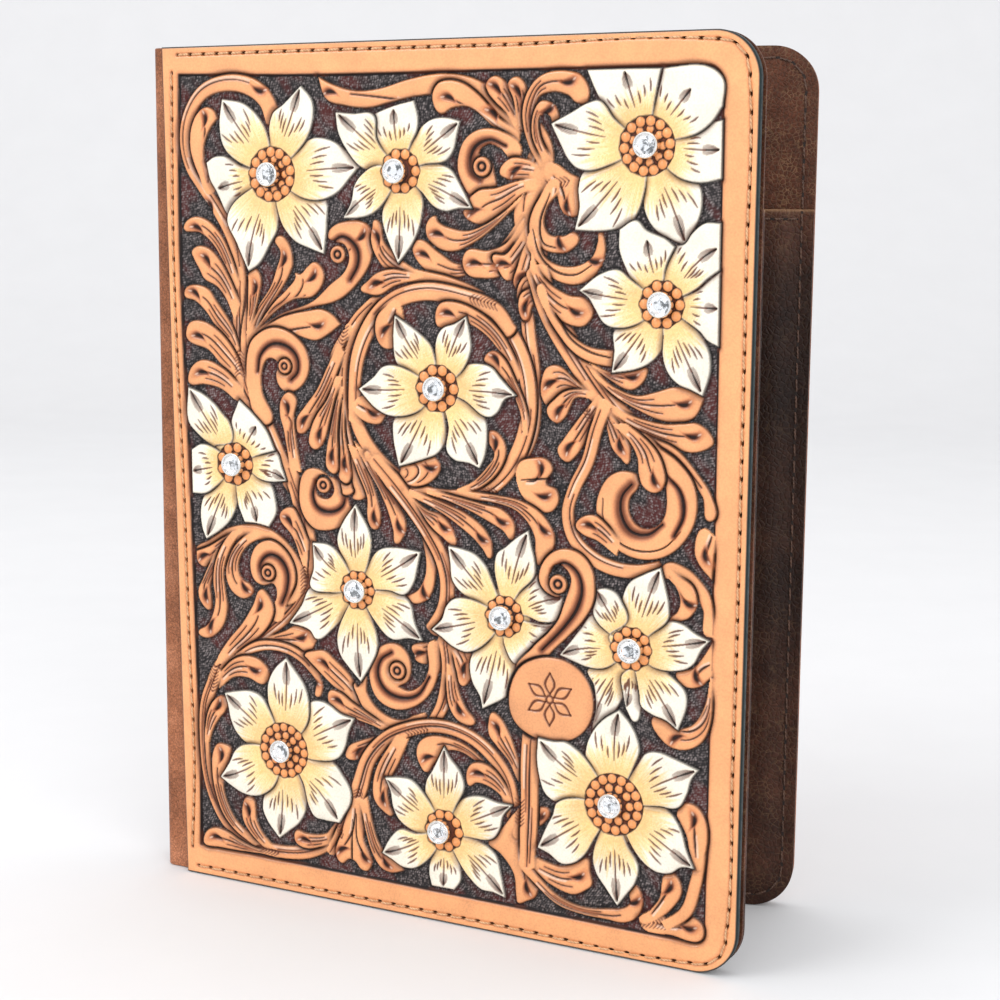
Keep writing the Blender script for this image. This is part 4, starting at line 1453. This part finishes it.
def build_carved_face(work):
    """The carved face as tiles of fine relief that share their edges."""
    rows = int(round((HEIGHT - 2 * RIM) / GRID)) + 1
    z_line = np.linspace(RIM, HEIGHT - RIM, rows)
    left = panel_left(z_line, RIM)
    bow = CORNER - RIM
    over = np.maximum(np.maximum(CORNER - z_line, z_line - (HEIGHT - CORNER)), 0)
    right = PANEL_RIGHT - CORNER + np.sqrt(np.maximum(bow ** 2 - np.minimum(over, bow) ** 2, 0))
    stops = (left, np.full(rows, STEADY_S[0]), np.full(rows, STEADY_S[1]), right)
    strips = []
    for near, far, width in zip(stops, stops[1:], (STEADY_S[0] - left.mean(), STEADY_S[1] - STEADY_S[0],
                                                   PANEL_RIGHT - STEADY_S[1])):
        count = int(round(width / GRID))
        strips.append(near[:, None] + (far - near)[:, None] * (np.arange(count) / count)[None])
    s = np.concatenate([*strips, right[:, None]], 1)
    z = np.repeat(z_line[:, None], s.shape[1], 1)
    height = bilinear(work.height, s, z)
    points = front.place(s + S_TO_U, z, FACE + height)
    normals = np.cross(np.gradient(points, axis=1), np.gradient(points, axis=0))
    normals /= np.linalg.norm(normals, axis=-1, keepdims=True)
    colors = bilinear(work.color, s, z)
    row_ends = np.linspace(0, rows - 1, TILE_ROWS + 1).astype(int)
    col_ends = np.linspace(0, s.shape[1] - 1, TILE_COLS + 1).astype(int)
    for j in range(TILE_ROWS):
        for i in range(TILE_COLS):
            cut = (slice(row_ends[j], row_ends[j + 1] + 1), slice(col_ends[i], col_ends[i + 1] + 1))
            size = max(np.ptp(s[cut]), np.ptp(z[cut])) * 1.01
            uv = np.stack([(flat - flat.min()) / size + 0.004 for flat in (s[cut], z[cut])], -1)
            tile = grid_mesh(f"carved_face_{j + 1}_{i + 1}", points[cut], normals[cut], colors[cut], uv)
            dress(tile, "front_cover", "carved_leather", "front_tooled_panel")


def dress(item, body, slot, *nodes):
    """Ride a piece on its body, name its slot, and hide the CAD nodes it stands for."""
    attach(item, body)
    if nodes:
        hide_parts(*nodes)


def panel_loop(inset):
    """The panel's outline pulled in by inset, as (s, z) points that run round it once."""
    side_steps = 60
    radius = CORNER - inset
    arc = np.linspace(0, math.pi / 2, 18)[:-1]
    side = np.linspace(0, 1, side_steps)[:-1]
    bend = PANEL_RIGHT - CORNER
    upper = HEIGHT - CORNER
    foot = panel_left(0, inset)
    head = panel_left(HEIGHT, inset)
    up_spine = np.linspace(HEIGHT - inset, inset, side_steps)[:-1]
    parts = [(foot + (bend - foot) * side, inset + 0 * side),
             (bend + radius * np.sin(arc), CORNER - radius * np.cos(arc)),
             (PANEL_RIGHT - inset + 0 * side, CORNER + (upper - CORNER) * side),
             (bend + radius * np.cos(arc), upper + radius * np.sin(arc)),
             (bend + (head - bend) * side, HEIGHT - inset + 0 * side),
             (panel_left(up_spine, inset), up_spine)]
    return np.concatenate([np.stack(part, 1) for part in parts])


def build_panel_edge():
    """The panel's rounded, painted edge and its plain back, as rings of (inset, lift, share of paint)."""
    thick = FACE - PANEL_BACK
    rings = [(RIM + 1.0, -0.06, 0.0), (RIM, 0.0, 0.0)]
    rings += [(RIM * (1 - math.sin(a)), RIM * (math.cos(a) - 1), min(1.0, 1.6 * a))
              for a in (0.3, 0.6, 0.9, 1.25, 1.57)]
    rings += [(inset, lift - thick, 1.0)
              for inset, lift in ((0.0, 0.5 * thick), (0.0, 0.4), (0.12, 0.12), (0.4, 0.0))]
    loops = [panel_loop(inset) for inset, _, _ in rings]
    count = len(loops[0])
    vertices = np.concatenate([front.place(loop[:, 0] + S_TO_U, loop[:, 1], np.full(count, FACE + lift))
                               for loop, (_, lift, _) in zip(loops, rings)])
    faces = []
    for k in range(len(rings) - 1):
        for i in range(count):
            j = (i + 1) % count
            faces.append((k * count + j, k * count + i, (k + 1) * count + i, (k + 1) * count + j))
    last = (len(rings) - 1) * count
    faces.append(tuple(range(last, last + count))[::-1])
    item = make_mesh("front_panel_edge", vertices, faces, ["carved"])
    tints = np.array([np.array(TAN) * (1 - p) + np.array(EDGE_PAINT) * p for _, _, p in rings])
    paint(item.data, np.repeat(tints, count, 0))
    item.data.set_sharp_from_angle(angle=math.radians(60))
    dress(item, "front_cover", "carved_leather", "front_tooled_panel")


# ---- the hides round the covers ----

def back_wave(u, z):
    """The back cover isn't quite flat: a soft wave that grows towards its fore-edge, in mm."""
    reach = np.clip(np.asarray(u) / REACH, 0, 1) ** 2
    return reach * (0.32 * np.sin(z / 31.0 + 0.6) + 0.22 * np.sin(z / 13.0 + u / 40.0) - 0.15)


def spine_to_cover(name, cover, spine_node, cover_node, last_u, radius, material, wave=None,
                   rounded=True):
    """A hide that runs from the spine's middle round a fold and along a cover, bending at the hinge."""
    inner, outer, _, _ = cover.layer(cover_node)
    start = np.array([middle_of(node_points(spine_node)[:, 0]), 0.0])
    end = cover.line(last_u, (inner + outer) / 2)
    corner = meet(start, np.array([0.0, 1.0]), end, cover.along)
    path, out = bent_path(start, corner, end, radius, 3.0)
    if out[0][0] > 0:
        out = -out
    u = (path - cover.fold) @ cover.along
    run = np.where((path - corner) @ cover.along > 0, u, -1.0)
    rise = corner_rise(run, last_u) if rounded else np.zeros(len(path))
    push = None if wave is None else (lambda z: wave(np.clip(run, 0, None)[None, :], z))
    item = sheet(name, path, out, outer - inner, rise, HEIGHT - rise, SHEET_ROWS, material, True, push)
    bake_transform(item)
    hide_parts(spine_node, cover_node)


WRAP_FILLET = 2.4                # mid-thickness radii of the hides' folds
LINING_FILLET = 1.3


def build_hides():
    gutter_end = front.layer("front_gutter_leather")[3]
    spine_to_cover("wrap_front", front, "spine_leather", "front_gutter_leather", gutter_end, WRAP_FILLET,
                   "wrap", rounded=False)
    spine_to_cover("wrap_back", back, "spine_leather", "back_outer_leather", REACH, WRAP_FILLET,
                   "wrap", back_wave)
    spine_to_cover("lining_front", front, "spine_lining", "front_lining", REACH, LINING_FILLET,
                   "lining")
    spine_to_cover("lining_back", back, "spine_lining", "back_lining", REACH, LINING_FILLET,
                   "lining", back_wave)


def flat_layer(name, cover, node, rows, material, push=None, square_top=False):
    """A flat sheet in a CAD layer's place, with its fore-edge corners rounded."""
    inner, outer, first, last = cover.layer(node)
    heights = node_points(node)[:, 2]
    near = np.linspace(first, last - CORNER, 60)[:-1]
    u = np.concatenate([near, corner_steps(last)])
    rise = corner_rise(u, last, CORNER - (REACH - last))
    low = heights.min() + rise
    high = heights.max() - (0 * rise if square_top else rise)
    path = cover.line(u, np.full(len(u), (inner + outer) / 2))
    out = np.repeat(cover.out[None], len(u), 0)
    shift = None if push is None else (lambda z: push(np.repeat(u[None], rows, 0), z))
    return sheet(name, path, out, outer - inner, low, high, rows, material, push=shift)


SIDES = (("front", front, None), ("back", back, back_wave))


def build_boards():
    for side, cover, wave in SIDES:
        node = f"{side}_stiffener"
        board = flat_layer(f"{node}_board", cover, node, 40, "board", wave)
        dress(board, f"{side}_cover", "stiffener_board", node)


def pocket_push(side, cover, wave):
    """How far a pocket leaf stands off its CAD place: sewn down at three sides, loose at its mouth."""
    node = f"{side}_pocket"
    _, outer, first, last = cover.layer(node)
    close = cover.layer(f"{side}_lining")[0] - 0.06 - outer
    mouth = node_points(node)[:, 2].max()

    def push(u, z):
        edge = np.minimum(np.minimum(u - first - 2.0, last - 2.5 - u), z - 2.5)
        loose = smooth(edge / 9.0)
        across = np.clip((u - first) / (last - first), 0, 1)
        gape = 0.35 * smooth((z - mouth + 40) / 40) * np.sin(across * math.pi)
        ripple = 0.18 * np.sin(u / 17.0 + z / 47.0) * loose
        return close * (1 - loose) - (gape + ripple) * loose + (wave(u, z) if wave else 0)

    return push


def build_pockets():
    for side, cover, wave in SIDES:
        node = f"{side}_pocket"
        push = pocket_push(side, cover, wave)
        leaf = flat_layer(f"{node}_leaf", cover, node, SHEET_ROWS, "pocket", push, square_top=True)
        dress(leaf, f"{side}_cover", "pocket_leather", node)


# ---- stitches ----

HEM_PITCH = EDGE_PITCH * 0.8
SEAM_START = 5.5                 # where an edge seam leaves the fold line
BACK_INSET = 3.5                 # the back cover's edge seam, from its edge


def stitches(name, middles, heads, outs, length, body, *nodes, material="brown_thread"):
    """Saddle stitches that dive into dark needle holes at both ends."""
    count = len(middles)
    rings, sides = 9, 8
    t = np.linspace(-1, 1, rings)
    radius = THREAD * np.sqrt(np.maximum(1 - np.abs(t) ** 5, 0.06))
    lift = 0.34 * (1 - np.abs(t) ** 3) - 0.12
    across = np.cross(outs, heads)
    angle = np.linspace(0, 2 * math.pi, sides, endpoint=False)
    slant = 0.10
    axis = (middles[:, None] + heads[:, None] * (t * (length / 2 - 0.42))[None, :, None]
            + across[:, None] * (t * slant)[None, :, None] + outs[:, None] * lift[None, :, None])
    ring = (across[:, None, None] * np.cos(angle)[None, None, :, None]
            + outs[:, None, None] * 0.85 * np.sin(angle)[None, None, :, None]) * radius[None, :, None, None]
    vertices = (axis[:, :, None] + ring).reshape(-1, 3)
    faces = []
    for n in range(count):
        base = n * rings * sides
        for r in range(rings - 1):
            for k in range(sides):
                a = base + r * sides + k
                b = base + r * sides + (k + 1) % sides
                faces.append((a, b, b + sides, a + sides))
        faces.append(tuple(base + k for k in range(sides))[::-1])
        faces.append(tuple(base + (rings - 1) * sides + k for k in range(sides)))
    dress(make_mesh(name, vertices, faces, [material]), body, "thread", *nodes)


def holes(name, middles, heads, outs, length, body):
    """Shallow dark dimples where the needle went through plain hide."""
    angle = np.linspace(0, 2 * math.pi, 10, endpoint=False)
    across = np.cross(outs, heads)
    vertices = []
    faces = []
    for sign in (-1, 1):
        centre = middles + heads * sign * (length / 2 - 0.30) + outs * 0.03
        for n in range(len(centre)):
            base = len(vertices)
            vertices += [centre[n] + 0.52 * math.cos(a) * heads[n] + 0.38 * math.sin(a) * across[n]
                         for a in angle]
            vertices.append(centre[n] + outs[n] * 0.03)
            faces += [(base + k, base + (k + 1) % 10, base + 10) for k in range(10)]
    dress(make_mesh(name, np.array(vertices), faces, ["hole"]), body, "thread")


def seam_on(cover, line, pitch, depth_at, facing):
    """Stitch places on a cover along a line in u and z, lying on the surface depth_at gives."""
    middle, head, length = seam_points(line, pitch)
    u, z = middle.T
    points = cover.place(u, z, depth_at(u, z))
    u_ahead, z_ahead = (middle + head * 0.5).T
    heads = cover.place(u_ahead, z_ahead, depth_at(u_ahead, z_ahead)) - points
    heads /= np.linalg.norm(heads, axis=1, keepdims=True)
    outs = np.repeat(np.array([[*cover.out, 0.0]]) * facing, len(u), 0)
    return points, heads, outs, length


def edge_line(inset, start):
    """An edge seam's path: along the head, down the fore-edge and back along the foot."""
    radius = CORNER - inset
    right = REACH - inset
    turn = np.linspace(0, math.pi / 2, 8)
    middle = right - radius
    upper = [(middle + radius * math.sin(a), HEIGHT - inset - radius + radius * math.cos(a)) for a in turn]
    lower = [(middle + radius * math.cos(a), inset + radius - radius * math.sin(a)) for a in turn]
    return np.array([(start, HEIGHT - inset), *upper, *lower, (start, inset)])


def dense(line):
    """The same line as points about half a millimetre apart."""
    return evenly(line, int(run_of(line)[-1] / 0.5))


def build_panel_seams():
    for name, path, pitch in (("edge", EDGE_SEAM, EDGE_PITCH), ("gutter", GUTTER_SEAM, GUTTER_PITCH)):
        places = seam_on(front, seam_line(path) + (S_TO_U, 0), pitch,
                         lambda u, z: np.full(len(u), FACE - SEAM_GROOVE), 1)
        stitches(f"front_{name}_stitches", *places, "front_cover", f"front_{name}_thread", material="thread")


def sewn(name, places, body, *nodes):
    """Brown stitches with their needle holes."""
    stitches(f"{name}_stitches", *places, body, *nodes)
    holes(f"{name}_holes", *places, body)


def build_inside_seams(side, cover, wave, inset, edge_nodes):
    """The edge seam on a cover's inside, and the hem of its pocket."""
    push = pocket_push(side, cover, wave)
    lining_face = cover.layer(f"{side}_lining")[0]
    pocket_face, _, pocket_start, _ = cover.layer(f"{side}_pocket")
    mouth = node_points(f"{side}_pocket")[:, 2].max()

    def depth(u, z):
        on_pocket = (z < mouth) & (u > pocket_start)
        return np.where(on_pocket, pocket_face + push(u, z), lining_face + (wave(u, z) if wave else 0 * u))

    edge = dense(edge_line(inset, SEAM_START))
    sewn(f"{side}_inside_edge", seam_on(cover, edge, EDGE_PITCH, depth, -1), f"{side}_cover", *edge_nodes)
    hem_thread = f"{side}_pocket_hem_thread"
    hem_z = node_points(hem_thread)[:, 2].max() - 0.35
    hem = dense(np.array([(pocket_start + 1.5, hem_z), (REACH - inset - 0.8, hem_z)]))
    sewn(f"{side}_hem", seam_on(cover, hem, HEM_PITCH, depth, -1), f"{side}_cover", hem_thread)


def build_seams():
    build_panel_seams()
    build_inside_seams("front", front, None, 2.6, [])
    build_inside_seams("back", back, back_wave, BACK_INSET, ["back_edge_thread"])
    outer_face = back.layer("back_outer_leather")[1]
    places = seam_on(back, dense(edge_line(BACK_INSET, SEAM_START)), EDGE_PITCH,
                     lambda u, z: outer_face + back_wave(u, z), 1)
    sewn("back_outside_edge", places, "back_cover", "back_edge_thread")
    spine_x = node_points("spine_leather")[:, 0].min()
    for end in ("head", "foot"):
        z = node_points(f"spine_{end}_thread")[:, 2].mean()
        middles = np.array([(spine_x, y, z) for y in (-2.4, 2.4)])
        places = (middles, np.array([[0.0, 1.0, 0.0]] * 2), np.array([[-1.0, 0.0, 0.0]] * 2), EDGE_PITCH)
        sewn(f"spine_{end}", places, "spine", f"spine_{end}_thread")


# ---- crystals ----

SEAT_DEPTH = 0.42                # how far a cup is sunk below the panel's face
GIRDLE_DROP = 0.55               # from a cup's rim down to its stone's girdle


def lathe(profile, steps):
    """Vertices and faces of a turned shape about local Z, from (radius, height) pairs."""
    angle = np.linspace(0, 2 * math.pi, steps, endpoint=False)
    vertices = [(r * math.cos(a), r * math.sin(a), h) for r, h in profile for a in angle]
    faces = []
    for k in range(len(profile) - 1):
        for i in range(steps):
            j = (i + 1) % steps
            faces.append((k * steps + i, (k + 1) * steps + i, (k + 1) * steps + j, k * steps + j))
    faces.append(tuple(range(steps)))
    faces.append(tuple((len(profile) - 1) * steps + i for i in range(steps))[::-1])
    return vertices, faces


def build_crystals():
    """Round brilliants with foiled backs, each in a thin bright cup."""
    for number in range(1, len(FLOWERS) + 1):
        cup_points = node_points(f"rhinestone_cup_{number:02d}")
        stone_points = node_points(f"rhinestone_{number:02d}")
        centre_x = middle_of(stone_points[:, 0])
        centre_z = middle_of(stone_points[:, 2])
        seat = FACE - SEAT_DEPTH
        tall = front.fold[1] - cup_points[:, 1].min() - seat
        radius = np.ptp(cup_points[:, 0]) / 2
        stone_radius = np.ptp(stone_points[:, 0]) / 2
        outside = [(radius - 0.05, 0.0), (radius, 0.25), (radius, tall - 0.45), (radius - 0.08, tall - 0.18),
                   (radius - 0.26, tall)]
        inside = [(stone_radius + 0.02, tall - 0.06), (stone_radius - 0.1, tall - 0.3),
                  (stone_radius - 0.1, 0.35)]
        vertices, faces = lathe(outside + inside, 40)
        cup = stand(f"crystal_cup_{number:02d}", vertices, faces, ["plate"], centre_x, centre_z, seat)
        cup.data.shade_smooth()
        cup.data.set_sharp_from_angle(angle=math.radians(50))
        dress(cup, "front_cover", "stone_cups", f"rhinestone_cup_{number:02d}")
        vertices, faces, foil = brilliant(stone_radius * 0.99, turn=0.35 * number)
        stone = stand(f"crystal_{number:02d}", vertices, faces, ["crystal", "foil"], centre_x, centre_z,
                      seat + tall - GIRDLE_DROP, smooth_shade=False)
        for face in range(foil, len(faces)):
            stone.data.polygons[face].material_index = 1
        dress(stone, "front_cover", "crystal", f"rhinestone_{number:02d}")


def stand(name, vertices, faces, materials, x, z, depth, smooth_shade=True):
    """Place a turned piece on the front cover, its own +Z looking outward."""
    local = np.array(vertices)
    world = np.stack([x + local[:, 0], front.fold[1] - depth - local[:, 2], z + local[:, 1]], 1)
    return make_mesh(name, world, faces, materials, smooth_shade)


def brilliant(radius, turn):
    """A round brilliant about its girdle plane, and the first of its foiled pavilion's faces."""
    table, crown, pavilion = 0.56, 0.30, 0.42

    def ring(count, width, height, start):
        angles = [turn + start + 2 * math.pi * k / count for k in range(count)]
        return [(radius * width * math.cos(a), radius * width * math.sin(a), radius * height) for a in angles]

    half = math.pi / 8
    vertices = [*ring(8, table, crown, 0.0), *ring(8, 0.80, crown * 0.58, half), *ring(16, 1.0, 0.0, 0.0),
                *ring(8, 0.5, -pavilion * 0.55, half), (0.0, 0.0, -radius * pavilion)]
    top = [tuple(range(8))]
    bottom = []
    for k in range(8):
        n = (k + 1) % 8
        girdle = 16 + 2 * k
        after = 16 + 2 * n
        top += [(k, 8 + k, n), (8 + k, after, n), (8 + k, girdle + 1, after), (8 + k, girdle, girdle + 1),
                (k, girdle, 8 + k)]
        bottom += [(girdle + 1, girdle, 32 + k), (after, girdle + 1, 32 + k), (after, 32 + k, 32 + n),
                   (32 + k, 40, 32 + n)]
    return vertices, [face[::-1] for face in top + bottom], len(top)


# ---- stage ----

CAMERA_AT = (0.37606, -0.50365, 0.216)
CAMERA_TURN = 27.27              # degrees round, up and about its own axis
CAMERA_TILT = 81.18
CAMERA_ROLL = 0.47
CAMERA_LENS = 70.38              # mm, on a 36 mm sensor
LIT_POINT = (0.1, 0.0, 0.12)
SOFTBOXES = (                    # name, place, size in metres and watts
    ("key", (-0.75, -1.15, 1.25), (0.9, 0.7), 11.0),
    ("fill", (1.3, -1.0, 0.7), (0.8, 1.0), 8.0),
    ("top", (0.1, 0.2, 1.6), (1.4, 1.0), 5.0),
)
SKY = (0.98, 0.982, 1.0, 1.0)
SKY_STRENGTH = 1.04


def build_stage():
    """A pale floor that curves up into a pale backdrop, square to the camera."""
    front_edge, bend, rise, top = -1.5, 1.2, 0.8, 3.5
    profile = [(front_edge, 0.0), (bend, 0.0)]
    profile += [(bend + rise * math.sin(a), rise - rise * math.cos(a))
                for a in np.linspace(0.1, math.pi / 2, 16)]
    profile.append((bend + rise, top))
    vertices = [(x, y, z) for x in (-3.5, 3.5) for y, z in profile]
    count = len(profile)
    mesh = bpy.data.meshes.new("studio_floor")
    mesh.from_pydata(vertices, [], [(i, count + i, count + i + 1, i + 1) for i in range(count - 1)])
    mesh.shade_smooth()
    shader = Shader("studio_paper", 0.85)
    paper = shader.ramp(shader.noise(0.02), (0.3, (0.765, 0.765, 0.77)), (0.7, (0.78, 0.78, 0.785)))
    paler_up = shader.ramp(shader.rise(900.0), (0.0, 0.94), (1.0, 1.0))
    mesh.materials.append(shader.finish(shader.times(paper, paler_up)))
    floor = add_object("studio_floor", mesh)
    floor.location = (0.0, 0.0, -0.0002)
    floor.rotation_euler = (0.0, 0.0, math.radians(CAMERA_TURN))


def build_studio():
    world = bpy.data.worlds.new("studio")
    world.use_nodes = True
    background = world.node_tree.nodes["Background"]
    background.inputs["Color"].default_value = SKY
    background.inputs["Strength"].default_value = SKY_STRENGTH
    bpy.context.scene.world = world
    bpy.context.scene.view_settings.view_transform = "Standard"
    for name, place, size, watts in SOFTBOXES:
        light = bpy.data.lights.new(name, "AREA")
        light.shape = "RECTANGLE"
        light.size, light.size_y = size
        light.energy = watts
        item = add_object(name, light)
        item.location = place
        item.rotation_euler = (Vector(LIT_POINT) - Vector(place)).to_track_quat("-Z", "Y").to_euler()


def build_camera():
    data = bpy.data.cameras.new("camera")
    data.lens = CAMERA_LENS
    data.sensor_width = 36.0
    camera = add_object("camera", data)
    camera.location = CAMERA_AT
    turns = [Matrix.Rotation(math.radians(angle), 3, axis)
             for angle, axis in ((CAMERA_TURN, "Z"), (CAMERA_TILT, "X"), (CAMERA_ROLL, "Z"))]
    camera.rotation_euler = (turns[0] @ turns[1] @ turns[2]).to_euler()
    bpy.context.scene.camera = camera


build_carved_face(carve_panel())
build_panel_edge()
build_hides()
build_boards()
build_pockets()
build_seams()
build_crystals()
build_stage()
build_studio()
build_camera()
